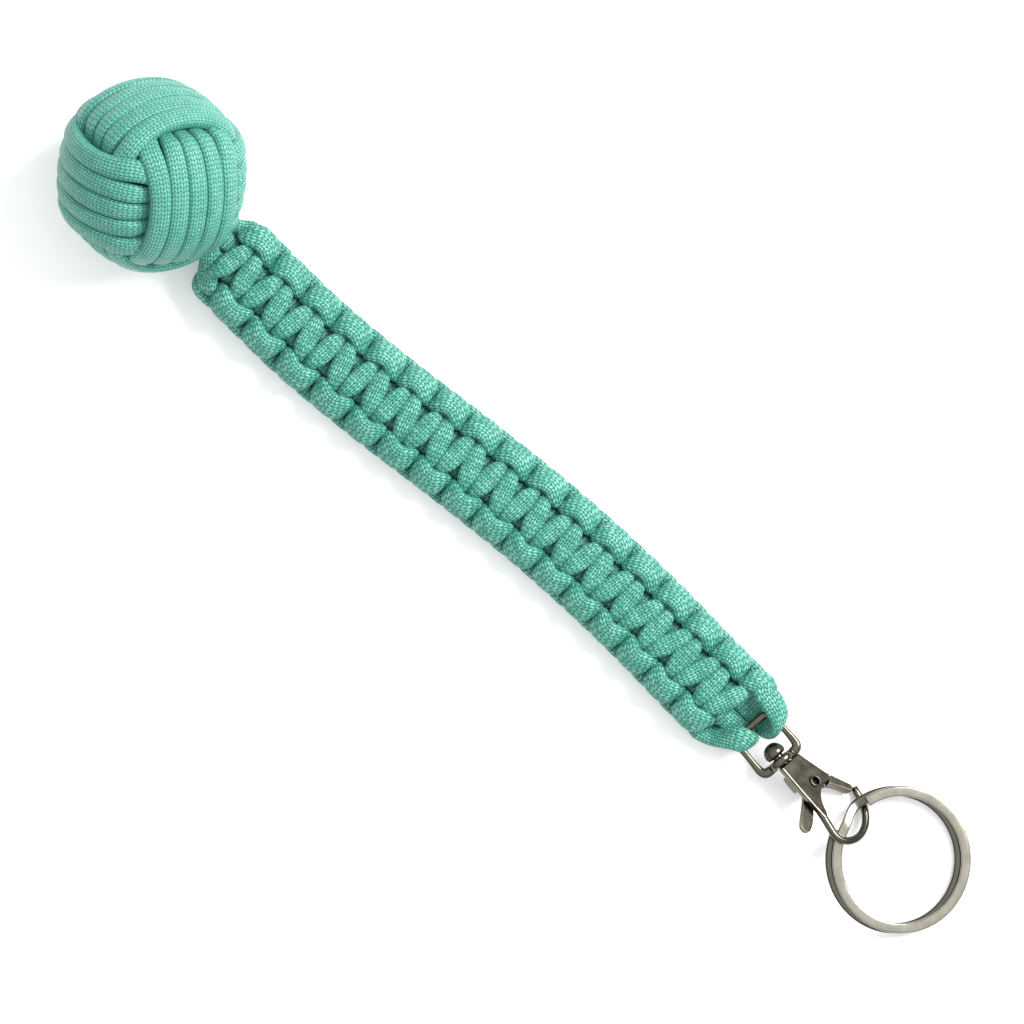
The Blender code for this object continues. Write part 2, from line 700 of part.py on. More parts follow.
def build_spring(metal):
    """Small closing coil round the pin behind the lever."""
    rows = []
    steps = int(SPRING_COILS * 12)
    low = LEVER_BACK - 0.3 - SPRING_WIRE_RADIUS
    pitch = SPRING_WIRE_RADIUS * 2 + 0.12
    for index in range(steps + 1):
        angle = 2 * math.pi * index / 12
        rows.append((
            PIN_AT[0] + SPRING_COIL_RADIUS * math.cos(angle), PIN_AT[1] + SPRING_COIL_RADIUS * math.sin(angle),
            low - pitch * index / 12, SPRING_WIRE_RADIUS))
    add_clasp_piece("gate_spring", round_bar(rows, 6), HOOK_ROLL, metal)


# Split ring

def build_ring(metal):
    """Flat wire wound round with a climb from the lower coil to the upper one."""
    toward = np.array([math.cos(RING_RISE_TOWARD), math.sin(RING_RISE_TOWARD), 0.0])
    normal = unit(np.array([-toward[0] * RING_RISE, -toward[1] * RING_RISE, 1.0]))
    x_axis = unit(np.array([1.0, 0.0, 0.0]) - normal * normal[0])
    y_axis = np.cross(normal, x_axis)
    half_width = RING_WIRE_WIDTH / 2
    half_thick = RING_WIRE_THICKNESS / 2
    edge = 0.18
    section = (
        (-half_width, -half_thick + edge), (-half_width + edge, -half_thick), (half_width - edge, -half_thick),
        (half_width, -half_thick + edge), (half_width, half_thick - edge), (half_width - edge, half_thick),
        (-half_width + edge, half_thick), (-half_width, half_thick - edge))
    bm = bmesh.new()
    rings = []
    for index in range(RING_SEGMENTS + 1):
        angle = RING_LOWER_END + (RING_UPPER_END - RING_LOWER_END) * index / RING_SEGMENTS
        share = np.clip((angle - RING_OVERLAP_END) / (RING_CLIMB_END - RING_OVERLAP_END), 0.0, 1.0)
        height = (share * share * (3 - 2 * share) - 0.5) * RING_COIL_STEP
        outward = x_axis * math.cos(angle) + y_axis * math.sin(angle)
        ring = []
        for out, up in section:
            place = RING_CENTRE - ORIGIN + outward * (RING_MEAN_RADIUS + out) + normal * (height + up)
            ring.append(bm.verts.new(place * MM))
        rings.append(ring)
    for one, two in zip(rings, rings[1:]):
        for count in range(len(section)):
            after = (count + 1) % len(section)
            bm.faces.new((one[count], one[after], two[after], two[count]))
    bm.faces.new(rings[0][::-1])
    bm.faces.new(rings[-1])
    bmesh.ops.triangulate(bm, faces=bm.faces[:])
    add_object("split_ring", mesh_from_bmesh(bm), metal)
    print("ring normal", normal.round(4))


def report_size():
    """Prints the box of the whole part and its triangle count."""
    low = np.full(3, 9.0)
    high = -low
    triangles = 0
    for item in bpy.data.objects:
        item.data.calc_loop_triangles()
        triangles += len(item.data.loop_triangles)
        for vertex in item.data.vertices:
            place = np.array(item.matrix_world @ vertex.co)
            low = np.minimum(low, place)
            high = np.maximum(high, place)
    print("box", (low * 1000).round(2), (high * 1000).round(2), "triangles", triangles, "objects", len(bpy.data.objects))


def main():
    """Builds every piece of the fob."""
    remove_everything()
    nylon = finish("mint_nylon", (0.10, 0.46, 0.33), 0.0, 0.6)
    steel = finish("bare_steel", (0.45, 0.45, 0.46), 1.0, 0.35)
    clasp_metal = finish("dark_nickel", (0.20, 0.19, 0.18), 1.0, 0.25)
    ring_metal = finish("bright_nickel", (0.60, 0.59, 0.56), 1.0, 0.2)
    line = MiddleLine(LANYARD_LINE)
    build_fist(nylon, steel)
    build_neck(line, nylon)
    end = build_lanyard(line, nylon)
    build_eye_loops(line, end, nylon)
    build_eye(clasp_metal)
    build_rivet(clasp_metal)
    build_hook(clasp_metal)
    build_pin(clasp_metal)
    build_lever(clasp_metal)
    build_spring(clasp_metal)
    build_ring(ring_metal)
    bpy.context.view_layer.update()
    report_size()


main()
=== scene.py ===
"""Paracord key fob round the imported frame: monkey's fist, square-knot lanyard, trigger clasp and split ring.

Lengths are millimetres on the lanyard's measuring line, which runs from the ball to the ring, and become
metres where a mesh is made.
"""
import json
import logging
import math
from collections.abc import Callable, Iterator, Sequence
from contextlib import contextmanager
from dataclasses import dataclass
from enum import Enum

import bmesh
import bpy
import numpy as np
from bpy.types import Material, Mesh, Node, NodeSocket, NodeTree, Object
from mathutils import Matrix, Vector


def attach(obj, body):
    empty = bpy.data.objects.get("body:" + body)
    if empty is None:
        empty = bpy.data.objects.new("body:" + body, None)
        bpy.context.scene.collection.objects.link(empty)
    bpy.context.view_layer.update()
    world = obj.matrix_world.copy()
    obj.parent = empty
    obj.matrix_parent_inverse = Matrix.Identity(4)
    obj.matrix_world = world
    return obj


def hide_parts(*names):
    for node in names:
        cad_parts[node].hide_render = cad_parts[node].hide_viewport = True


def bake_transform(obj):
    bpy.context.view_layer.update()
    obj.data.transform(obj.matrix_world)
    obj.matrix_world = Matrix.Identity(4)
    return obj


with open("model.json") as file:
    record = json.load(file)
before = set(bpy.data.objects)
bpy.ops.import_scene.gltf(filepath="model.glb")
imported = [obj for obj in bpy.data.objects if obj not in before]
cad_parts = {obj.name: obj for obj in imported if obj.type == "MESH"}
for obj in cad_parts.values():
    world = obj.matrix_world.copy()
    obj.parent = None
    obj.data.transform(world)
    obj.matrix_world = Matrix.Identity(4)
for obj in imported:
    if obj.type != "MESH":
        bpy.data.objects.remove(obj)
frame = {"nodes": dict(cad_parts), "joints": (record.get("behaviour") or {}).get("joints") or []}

LOG = logging.getLogger("fob")
MM = 0.001
# Place or direction in space.
Place = tuple[float, float, float]
# Place of the model's origin on the measuring line.
ORIGIN = np.array([71.9, 2.3, 0.0])
# A cord that lies on the table is pressed flat there.
TABLE_CLEARANCE = 0.04
# Corners of a bar's section, samples of its route from point to point, and steps of a turned piece.
BAR_SIDES = 24
BAR_SAMPLES = 24
TURN_STEPS = 64
X_AXIS = (1.0, 0.0, 0.0)
Z_AXIS = (0.0, 0.0, 1.0)


class Side(Enum):
    """Side of the lanyard, seen from the front with the ring to the right."""

    LEFT = 1.0
    RIGHT = -1.0


class Tool(Enum):
    """What a tool does to a piece, by the name of the boolean operation."""

    JOIN = "UNION"
    CUT = "DIFFERENCE"


class Edges(Enum):
    """Kind of metal piece, with the angle in degrees below which its edges are shaded smooth."""

    CAST = 80.0
    TURNED = 50.0
    SPRING = 60.0
    FLAT_WIRE = 40.0


def unit(vector: np.ndarray) -> np.ndarray:
    """Returns the vector, or each row of an array, at length one."""
    return vector / np.linalg.norm(vector, axis=-1, keepdims=True)


def linear(hex_colour: str) -> tuple[float, float, float, float]:
    """Turns an sRGB hex colour into linear light.

    Args:
        hex_colour: Six hex digits, such as "7fd0b4".

    Returns:
        Red, green, blue and an alpha of one.
    """
    channels = [int(hex_colour[start:start + 2], 16) / 255 for start in (0, 2, 4)]
    painted_light = [c / 12.92 if c <= 0.04045 else ((c + 0.055) / 1.055) ** 2.4 for c in channels]
    return (*painted_light, 1.0)


@dataclass(frozen=True)
class NodeGraph:
    """Node tree that is built node by node."""

    tree: NodeTree

    def feed(self, node: Node, inputs: dict) -> None:
        """Sets or links inputs of a node.

        Args:
            node: The node.
            inputs: Sockets by name or number, each with a value or with the socket that feeds it.
        """
        for key, value in inputs.items():
            if isinstance(value, NodeSocket):
                self.tree.links.new(value, node.inputs[key])
            else:
                node.inputs[key].default_value = value

    def add(self, kind: str, inputs: dict | None = None, stops: tuple = (), **settings: object) -> Node:
        """Adds a node with its settings and its inputs.

        Args:
            kind: Type name of the node, after its first word ShaderNode.
            inputs: As for feed.
            stops: Position and hex colour of each stop of a colour ramp, its two ends first.
            **settings: Properties of the node itself.

        Returns:
            The new node.
        """
        node = self.tree.nodes.new("ShaderNode" + kind)
        for name, value in settings.items():
            setattr(node, name, value)
        for index, (position, colour) in enumerate(stops):
            ramp = node.color_ramp.elements
            stop = ramp[index] if index < 2 else ramp.new(position)
            stop.position, stop.color = position, linear(colour)
        self.feed(node, inputs or {})
        return node

    def chain(self, *steps: tuple, kind: str = "Math") -> NodeSocket:
        """Adds a chain of nodes that have an operation, each fed by the one before.

        Args:
            *steps: Operation and its other values; the first step also starts with its first value.
            kind: Type name of the nodes, as for add.

        Returns:
            Output socket of the last node.
        """
        result = None
        for operation, *values in steps:
            values = values if result is None else [result, *values]
            result = self.add(kind, dict(enumerate(values)), operation=operation).outputs[0]
        return result


# Finishes

@dataclass(frozen=True)
class Finish:
    """What every finish has: a name and a way to make its material."""

    name: str

    def start(self) -> tuple[Material, NodeGraph, Node]:
        """Makes an empty material.

        Returns:
            The material, its node graph and its Principled shader.
        """
        material = bpy.data.materials.new(self.name)
        material.use_nodes = True
        return material, NodeGraph(material.node_tree), material.node_tree.nodes["Principled BSDF"]


@dataclass(frozen=True)
class BraidedNylon(Finish):
    """Sheath of 4 mm nylon cord: thirty-two yarns braided over a core, dyed mint and satin to the eye."""

    # Painted light: the first colour below is a painted highlight on the tops of the stitches, the second the dyed
    # mint, the third painted shade in the grooves between them.
    crown_painted_highlight: str = "81c1b4"
    body: str = "3a8c7b"
    groove_painted_shade: str = "0d5643"
    roughness: float = 0.42
    gloss: float = 0.35
    # Nylon is moulded plastic drawn to yarn, so its IOR is the plastic's.
    ior: float = 1.53
    # The sheath shows twenty ribs round the cord, 0.58 mm apart, with a stitch each 0.78 mm.
    ribs: int = 20
    stitch: float = 0.78
    slant: float = 0.6
    # How square the hump of a stitch is across the rib and along it.
    rib_power: float = 2.5
    stitch_power: float = 2.2
    # How much the painted highlight of one stitch is brighter than the next, and the tone of one stretch of cord
    # than another's; how long such a stretch is, in millimetres.
    uneven: float = 0.3
    drift: float = 0.2
    drift_size: float = 3.846
    # Height of a stitch in metres, and the filaments' share of it.
    depth: float = 0.00014
    filament: float = 0.12
    # Yarn of fine filaments, drawn three times as coarse as real so that they show: across a rib, along, lean.
    yarns: tuple[float, float, float] = (6.0, 0.5, 4.0)

    def make(self) -> Material:
        """Makes the material with its ribs of slanted stitches, read from the cord's own map.

        Returns:
            The material.
        """
        material, tree, shader = self.start()
        cord_map = tree.add("UVMap", uv_map="cord_map")
        around, along, _ = tree.add("SeparateXYZ", {0: cord_map.outputs[0]}).outputs
        rib = tree.chain(("MULTIPLY", around, float(self.ribs)))
        rib_number = tree.chain(("FLOOR", rib))
        hand = tree.chain(("MODULO", rib_number, 2.0), ("MULTIPLY_ADD", 2.0, -1.0))
        across = tree.chain(("FRACT", rib), ("SUBTRACT", 0.5))
        lean = tree.chain(("MULTIPLY", across, hand), ("MULTIPLY", self.slant))
        phase = tree.chain(("MULTIPLY", along, 1.0 / self.stitch), ("ADD", lean))
        step = tree.chain(("FRACT", phase), ("SUBTRACT", 0.5))
        rib_hump, stitch_hump = (
            tree.chain(("ABSOLUTE", place), ("MULTIPLY", 2.0), ("POWER", power), ("SUBTRACT", 1.0))
            for place, power in ((across, self.rib_power), (step, self.stitch_power)))
        raised = tree.chain(("MULTIPLY", rib_hump, stitch_hump), ("MAXIMUM", 0.0), ("POWER", 0.5))
        stitch = tree.add("CombineXYZ", {0: rib_number, 1: tree.chain(("FLOOR", phase))})
        chance = tree.add("TexWhiteNoise", {"Vector": stitch.outputs[0]}, noise_dimensions="2D")
        # Painted light: each stitch is coloured from painted shade in its grooves to a painted highlight on its top,
        # and the highlight is brighter on some stitches at random.
        painted_light = tree.chain(("MULTIPLY_ADD", chance.outputs[0], self.uneven, 1.0 - self.uneven), ("MULTIPLY", raised))
        place = tree.add("TexCoord").outputs["Object"]
        drift = tree.add("TexNoise", {"Vector": place, "Scale": 1 / (self.drift_size * MM), "Detail": 2.0})
        shade = tree.chain(("MULTIPLY_ADD", drift.outputs[0], self.drift, -self.drift / 2), ("ADD", painted_light))
        colour = tree.add("ValToRGB", {0: shade}, ((0.05, self.groove_painted_shade), (1.0, self.crown_painted_highlight), (0.6, self.body)))
        yarns_across, yarns_along, yarn_lean = self.yarns
        slide = tree.chain(("MULTIPLY", along, hand), ("MULTIPLY", yarn_lean))
        yarn = tree.add("CombineXYZ", {
            0: tree.chain(("MULTIPLY", rib, yarns_across), ("SUBTRACT", slide)),
            1: tree.chain(("MULTIPLY", along, yarns_along))})
        lines = tree.add("TexNoise", {"Vector": yarn.outputs[0], "Scale": 1.0, "Detail": 1.0})
        height = tree.chain(("MULTIPLY", lines.outputs[0], self.filament), ("ADD", raised))
        bump = tree.add("Bump", {"Height": height, "Distance": self.depth, "Strength": 1.0})
        tree.feed(shader, {
            "Base Color": colour.outputs[0], "Normal": bump.outputs[0], "Roughness": self.roughness,
            "IOR": self.ior, "Specular IOR Level": self.gloss})
        return material


@dataclass(frozen=True)
class PlatedMetal(Finish):
    """Metal with a thin nickel plate, tumbled smooth before plating, so its gloss is even and slightly wavy."""

    colour: str = "625f55"
    dull: str = "545147"
    roughness: float = 0.17
    # The gloss varies in clouds 2.4 mm wide, and the plate is wavy, each wave 1.1 mm long and 4 micrometres high.
    cloudy: float = 0.16
    cloud_size: float = 2.381
    ripple: float = 0.000004
    ripple_size: float = 1.111
    # Painted shade below a sloping level, such as a ring's lower coil under its upper one: the level's height and
    # slopes in metres, or None.
    painted_shade_below: tuple[float, float, float] | None = None
    # Colour of that painted shade.
    painted_shade_colour: str = "4b4a43"
    # How sharply the painted shade ends, for each metre.
    painted_shade_edge: float = 6000.0

    def make(self) -> Material:
        """Makes the material with its cloudy plate and faint ripple.

        Returns:
            The material.
        """
        material, tree, shader = self.start()
        place = tree.add("TexCoord").outputs["Object"]
        cloud = tree.add("TexNoise", {"Vector": place, "Scale": 1 / (self.cloud_size * MM), "Detail": 4.0}).outputs[0]
        ripple = tree.add("TexNoise", {"Vector": place, "Scale": 1 / (self.ripple_size * MM), "Detail": 1.0})
        tint = tree.add("ValToRGB", {0: cloud}, ((0.3, self.dull), (0.7, self.colour))).outputs[0]
        # Painted shade: darker below the sloping level.
        if self.painted_shade_below is not None:
            level, slope_x, slope_y = self.painted_shade_below
            x, y, z = tree.add("SeparateXYZ", {0: place}).outputs
            sideways = tree.chain(("MULTIPLY", y, slope_y))
            share = tree.chain(("MULTIPLY_ADD", x, slope_x, -level), ("ADD", sideways), ("ADD", z),
                               ("MULTIPLY_ADD", -self.painted_shade_edge, 0.5), ("MAXIMUM", 0.0), ("MINIMUM", 1.0))
            mix = tree.add("Mix", {0: share, 6: tint, 7: linear(self.painted_shade_colour)}, data_type="RGBA")
            tint = mix.outputs[2]
        bump = tree.add("Bump", {"Height": ripple.outputs[0], "Distance": self.ripple})
        tree.feed(shader, {
            "Base Color": tint, "Normal": bump.outputs[0], "Metallic": 1.0,
            "Roughness": tree.chain(("MULTIPLY_ADD", cloud, self.cloudy, self.roughness - self.cloudy / 2))})
        return material


@dataclass(frozen=True)
class MattTable(Finish):
    """White matt laminate under the fob, with a grain too fine to see from here."""

    colour: str = "fbfbfb"
    roughness: float = 0.9
    gloss: float = 0.1
    # A little light from below, as on a light table, keeps the shadows as faint as in the photo.
    glow: float = 0.12

    def make(self) -> Material:
        """Makes the pale material with its glow.

        Returns:
            The material.
        """
        material, tree, shader = self.start()
        tree.feed(shader, {
            "Base Color": linear(self.colour), "Roughness": self.roughness, "Specular IOR Level": self.gloss,
            "Emission Color": linear(self.colour), "Emission Strength": self.glow})
        return material


# Lines that cords and bars follow

def hermite(start: np.ndarray, leave: np.ndarray, end: np.ndarray, arrive: np.ndarray,
            t: np.ndarray) -> np.ndarray:
    """Rows of a smooth curve at shares t of the span between two points, from its slopes there."""
    return (start * (2 * t ** 3 - 3 * t ** 2 + 1) + leave * (t ** 3 - 2 * t ** 2 + t)
            + end * (3 * t ** 2 - 2 * t ** 3) + arrive * (t ** 3 - t ** 2))


def spline(padded: np.ndarray, samples: int) -> np.ndarray:
    """Makes a smooth curve through rows.

    Args:
        padded: The rows, with one more before the first and after the last that set the slopes there.
        samples: Steps from one row to the next.

    Returns:
        One row per step.
    """
    t = np.linspace(0, 1, samples, endpoint=False)[:, None]
    spans = [hermite(start, (end - before) / 2, end, (after - start) / 2, t)
             for before, start, end, after in zip(padded, padded[1:], padded[2:], padded[3:])]
    return np.vstack([*spans, padded[-2:-1]])


def measured(points: np.ndarray) -> np.ndarray:
    """Length of a line from its first point to each of its points."""
    return np.concatenate([[0.0], np.cumsum(np.linalg.norm(np.diff(points, axis=0), axis=1))])


def respaced(rows: np.ndarray, step: float, whole: Callable[[float], int]) -> tuple[np.ndarray, np.ndarray]:
    """Spaces the rows of a line evenly.

    Args:
        rows: Rows that start with their places.
        step: Distance between the new rows, in millimetres.
        whole: Makes the number of steps whole.

    Returns:
        Length up to each new row, and the new rows.
    """
    reach = measured(rows[:, :3])
    even = np.linspace(0.0, reach[-1], max(2, whole(reach[-1] / step)) + 1)
    return even, np.stack([np.interp(even, reach, column) for column in rows.T], axis=-1)


class MiddleLine:
    """Middle line of the lanyard as it rests, with its own directions at every length."""

    POINTS = np.array([
        [-8, 0.6, 10.4], [0, 0.1, 7.6], [10, -0.5, 5.5], [22, -0.9, 4.25], [38, -0.3, 4.05],
        [57, 1.1, 4.05], [75, 2.1, 4.05], [90, 2.2, 4.05], [104, 1.7, 4.1], [116, 0.8, 4.35],
        [127, 0.15, 5.15], [131.3, -0.1, 5.5], [137.7, -0.95, 5.7],
    ])
    SAMPLES_PER_SPAN = 40
    # Half of the stretch over which a direction is taken, in millimetres.
    REACH = 2.0

    def __init__(self) -> None:
        """Samples the line and measures it from the start of the weave."""
        padded = np.vstack([self.POINTS[:1], self.POINTS, self.POINTS[-1:]])
        self.samples = spline(padded, self.SAMPLES_PER_SPAN)
        self.lengths = measured(self.samples)
        self.lengths -= np.interp(0.0, self.samples[:, 0], self.lengths)

    def length_at(self, place: np.ndarray | float) -> np.ndarray:
        """Length along the line at places of the measuring axis."""
        return np.interp(place, self.samples[:, 0], self.lengths) + np.maximum(place - self.samples[-1, 0], 0.0)

    def at(self, length: np.ndarray) -> np.ndarray:
        """Points of the line at lengths from the start of the weave."""
        return np.stack([np.interp(length, self.lengths, self.samples[:, axis]) for axis in range(3)], axis=-1)

    def directions(self, length: np.ndarray) -> tuple[np.ndarray, np.ndarray, np.ndarray]:
        """Directions of the line.

        Args:
            length: Lengths from the start of the weave.

        Returns:
            Unit rows along, across and up.
        """
        along = unit(self.at(length + self.REACH) - self.at(length - self.REACH))
        across = unit(np.stack([-along[..., 1], along[..., 0], np.zeros_like(along[..., 0])], axis=-1))
        return along, across, np.cross(along, across)

    def place(self, rows: np.ndarray) -> np.ndarray:
        """Turns cord rows given along, across and up into rows in space.

        Args:
            rows: Length, across, up, flat side's direction in the same axes, half width, half thickness.

        Returns:
            The same rows with places and directions in space.
        """
        along, across, up = self.directions(rows[:, 0])
        placed = rows.copy()
        placed[:, :3] = self.at(rows[:, 0]) + across * rows[:, 1:2] + up * rows[:, 2:3]
        placed[:, :3] += along * np.maximum(rows[:, :1] - self.lengths[-1], 0.0)
        placed[:, 3:6] = along * rows[:, 3:4] + across * rows[:, 4:5] + up * rows[:, 5:6]
        return placed


# Cords

class Cord:
    """One length of cord: a smooth route with a flattened section that changes along it."""

    SAMPLES_PER_SPAN = 14
    OUTLINE_POINTS = 97

    def __init__(self, rows: np.ndarray, step: float = 0.45) -> None:
        """Samples the route evenly.

        Args:
            rows: Place, flat side's direction, half width and half thickness at each point of the route.
            step: Distance between rings of the mesh.
        """
        spans = np.linalg.norm(np.diff(rows[:, :3], axis=0), axis=1)[:, None]
        slopes = np.diff(rows, axis=0) / spans
        inner = (slopes[:-1] * spans[1:] + slopes[1:] * spans[:-1]) / (spans[:-1] + spans[1:])
        slopes = np.vstack([slopes[:1], inner, slopes[-1:]])
        t = np.linspace(0, 1, self.SAMPLES_PER_SPAN, endpoint=False)[:, None]
        fine = [hermite(rows[index], slopes[index] * span, rows[index + 1], slopes[index + 1] * span, t)
                for index, span in enumerate(spans)]
        self.at, self.rows = respaced(np.vstack([*fine, rows[-1:]]), step, int)

    def nearest(self, place: np.ndarray) -> int:
        """Number of the sample nearest to a place."""
        return int(np.argmin(np.linalg.norm(self.rows[:, :3] - place, axis=1)))

    def past(self, place: float) -> int:
        """Number of the first sample past a place on the measuring axis."""
        return int(np.argmax(self.rows[:, 0] > place))

    def rings(self, part: slice, sides: int, squareness: float) -> np.ndarray:
        """Points of the tube's rings.

        Args:
            part: Samples of the cord to use.
            sides: Number of sides of the tube.
            squareness: Exponent of the section, 2 for an ellipse and more for a squarer one.

        Returns:
            Places by ring and side, in millimetres.
        """
        rows = self.rows[part]
        along = unit(np.gradient(rows[:, :3], axis=0))
        flat = unit(rows[:, 3:6] - along * np.sum(rows[:, 3:6] * along, axis=1, keepdims=True))
        wide = np.cross(along, flat)
        angle = np.linspace(0, 2 * math.pi, self.OUTLINE_POINTS)
        circle = np.stack([np.cos(angle), np.sin(angle)])
        circle = np.sign(circle) * np.abs(circle) ** (2.0 / squareness)
        rings = np.empty((len(rows), sides, 3))
        for index, row in enumerate(rows):
            outline = circle * row[6:8, None]
            reach = measured(outline.T)
            x, y = (np.interp(np.arange(sides) / sides * reach[-1], reach, line)[:, None] for line in outline)
            rings[index] = row[:3] + wide[index] * x + flat[index] * y
        rings[..., 2] = np.maximum(rings[..., 2], TABLE_CLEARANCE)
        return rings

    def mesh(self, name: str, sides: int, squareness: float, part: slice = slice(None)) -> Mesh:
        """Makes a closed tube of part of the cord, with the map "cord_map" round and along it.

        Args:
            name: Name of the mesh.
            sides: Number of sides of the tube.
            squareness: Exponent of the section.
            part: Samples of the cord to use.

        Returns:
            The mesh, in metres, facing outwards.
        """
        rings = self.rings(part, sides, squareness)
        points = np.vstack([rings.reshape(-1, 3), rings[0].mean(axis=0), rings[-1].mean(axis=0)])
        number = np.arange(len(rings) * sides).reshape(-1, sides)
        after = np.roll(number, -1, axis=1)
        walls = np.stack([number[:-1], number[1:], after[1:], after[:-1]], axis=-1).reshape(-1, 4)
        ends = ((len(points) - 2, number[0], after[0]), (len(points) - 1, after[-1], number[-1]))
        caps = np.vstack([np.stack([np.full(sides, tip), one, two], axis=-1) for tip, one, two in ends])
        mesh = bpy.data.meshes.new(name)
        mesh.from_pydata(((points - ORIGIN) * MM).tolist(), [], [*walls.tolist(), *caps.tolist()])
        mesh.polygons.foreach_set("use_smooth", np.arange(len(mesh.polygons)) < len(walls))
        edges = np.empty(len(mesh.edges) * 2, np.int32)
        mesh.edges.foreach_get("vertices", edges)
        rims = np.isin(edges.reshape(-1, 2), caps[:, 1:]).all(axis=1)
        mesh.attributes.new("sharp_edge", "BOOLEAN", "EDGE").data.foreach_set("value", rims)
        length = self.at[part]
        ring, side = (index[..., None] for index in np.indices((len(rings) - 1, sides)))
        wall_map = np.stack([(side + [0, 0, 1, 1]) / sides, length[ring + [0, 1, 1, 0]]], axis=-1)
        cap_map = np.tile([0.0, length[0]], (6 * sides, 1))
        layer = mesh.uv_layers.new(name="cord_map")
        layer.data.foreach_set("uv", np.vstack([wall_map.reshape(-1, 2), cap_map]).astype(np.float32).reshape(-1))
        return mesh


def dress(piece: Object, material: Material) -> None:
    """Gives a piece its finish and reports it.

    Args:
        piece: The piece.
        material: Its finish.
    """
    piece.data.materials.clear()
    piece.data.materials.append(material)
    LOG.info("%s: %d faces", piece.name, len(piece.data.polygons))


def add_cord(name: str, mesh: Mesh, nylon: Material) -> Object:
    """Adds a finished piece of cord at the origin.

    Args:
        name: Name of the piece.
        mesh: Its mesh.
        nylon: Its finish.

    Returns:
        The piece.
    """
    piece = bpy.data.objects.new(name, mesh)
    bpy.context.scene.collection.objects.link(piece)
    dress(piece, nylon)
    return piece


@dataclass
class Fist:
    """Monkey's fist: three bands of five turns wound over and under each other round a steel ball."""

    nylon: Material
    steel: Material
    centre: Place = (-21.5, 2.3, 17.3)
    axes: tuple = ((-0.4967, 0.7248, 0.4780), (-0.5057, -0.6891, 0.5190), (0.7055, 0.0166, 0.7085))
    names: tuple[str, str, str] = ("first_wrap", "second_wrap", "third_wrap")
    turns: int = 5
    pitch: float = 3.83
    # Quarter of a turn, from the middle of a face to the middle of the next, where the cord is underneath:
    # angle, height over its face, height under the next, lean of the flat side, squeeze of the band, half width
    # and half thickness.
    quarter: tuple = (
        (0, 16.05, 0, 0, 1, 1.97, 1.5), (15, 15.65, 4.2, 14, 1, 1.97, 1.5),
        (27.7, 14.5, 7.6, 28, 0.99, 1.95, 1.5), (38.6, 12.85, 10.2, 43, 0.96, 1.88, 1.48),
        (46.9, 10.9, 11.4, 64, 0.90, 1.75, 1.45), (53.2, 8.8, 11.75, 80, 0.84, 1.6, 1.42),
        (69.8, 4.4, 11.9, 88, 0.79, 1.5, 1.42), (90, 0, 11.9, 90, 0.79, 1.5, 1.42),
    )
    # The outer turns spread where they meet the corners of the ball: share of their place, by those angles.
    spread: tuple = (0.0, 0.01, 0.05, 0.12, 0.16, 0.10, 0.0, 0.0)
    spread_width: float = 2.4
    # Tight winding rounds the corners: distances from the middle beyond the first value shrink to this share.
    round_from: float = 16.15
    round_share: float = 0.4
    end_trim: float = 28.0
    squareness: float = 3.0
    sides: int = 28

    def turn_rows(self) -> np.ndarray:
        """Mirrors the quarter into a whole turn.

        Returns:
            Rows as in the quarter, from the middle of a face.
        """
        first = np.array(self.quarter)
        mirrored = first[-2::-1] * [-1, -1, 1, -1, 1, 1, 1] + [180, 0, 0, 180, 0, 0, 0]
        half = np.vstack([first, mirrored])[:-1]
        other = half * [1, -1, -1, 1, 1, 1, 1] + [180, 0, 0, 180, 0, 0, 0]
        return np.vstack([half, other])

    def route(self, number: int) -> np.ndarray:
        """Rows of one band: over the two faces next to its axis and under on the other two.

        Args:
            number: Number of the band, from 0 to 2.

        Returns:
            Place, outward direction, half width and half thickness of each point.
        """
        axis, over, under = (np.array(self.axes[(number + shift) % 3]) for shift in range(3))
        half_band = self.pitch * (self.turns - 1) / 2
        angles = [row[0] for row in self.quarter]
        turn = self.turn_rows()
        turned = [turn + [360.0 * count, 0, 0, 0, 0, 0, 0] for count in range(-1, self.turns)]
        rows = []
        for angle, height, depth, lean, squeeze, wide, thick in np.vstack(turned):
            if not self.end_trim - 90.0 <= angle <= 360.0 * self.turns - 90.0 - self.end_trim:
                continue
            past = ((angle + 270.0) % 360.0) - 180.0
            shift = 0.5 * np.clip(past / self.end_trim, -1.0, 1.0)
            passed = math.floor((angle + 90.0) / 360.0) + (shift - 0.5 if past >= 0 else shift + 0.5)
            place = self.pitch * passed - half_band
            outer = min(1.0, abs(place) / half_band) ** 4
            from_face = abs((angle + 90.0) % 180.0 - 90.0)
            apart = float(np.interp(from_face, angles, self.spread)) * outer
            place *= squeeze + apart
            wide += apart * self.spread_width
            centre = axis * place + over * height + under * depth
            far = np.linalg.norm(centre)
            if far > self.round_from:
                centre *= (self.round_from + (far - self.round_from) * self.round_share) / far
            leaned = math.radians(lean)
            outward = over * math.cos(leaned) + under * math.sin(leaned) + axis * place / self.round_from
            rows.append(np.concatenate([np.array(self.centre) + centre, unit(outward), [wide, thick]]))
        return np.array(rows)

    def build(self) -> None:
        """Builds the three bands and finishes the ball they hide."""
        for number, name in enumerate(self.names):
            mesh = Cord(self.route(number)).mesh("fist_" + name, self.sides, self.squareness)
            piece = add_cord("fist_" + name, mesh, self.nylon)
            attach(piece, "fist")
            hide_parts(name)
        for slot in frame["nodes"]["core_ball"].material_slots:
            slot.material = self.steel


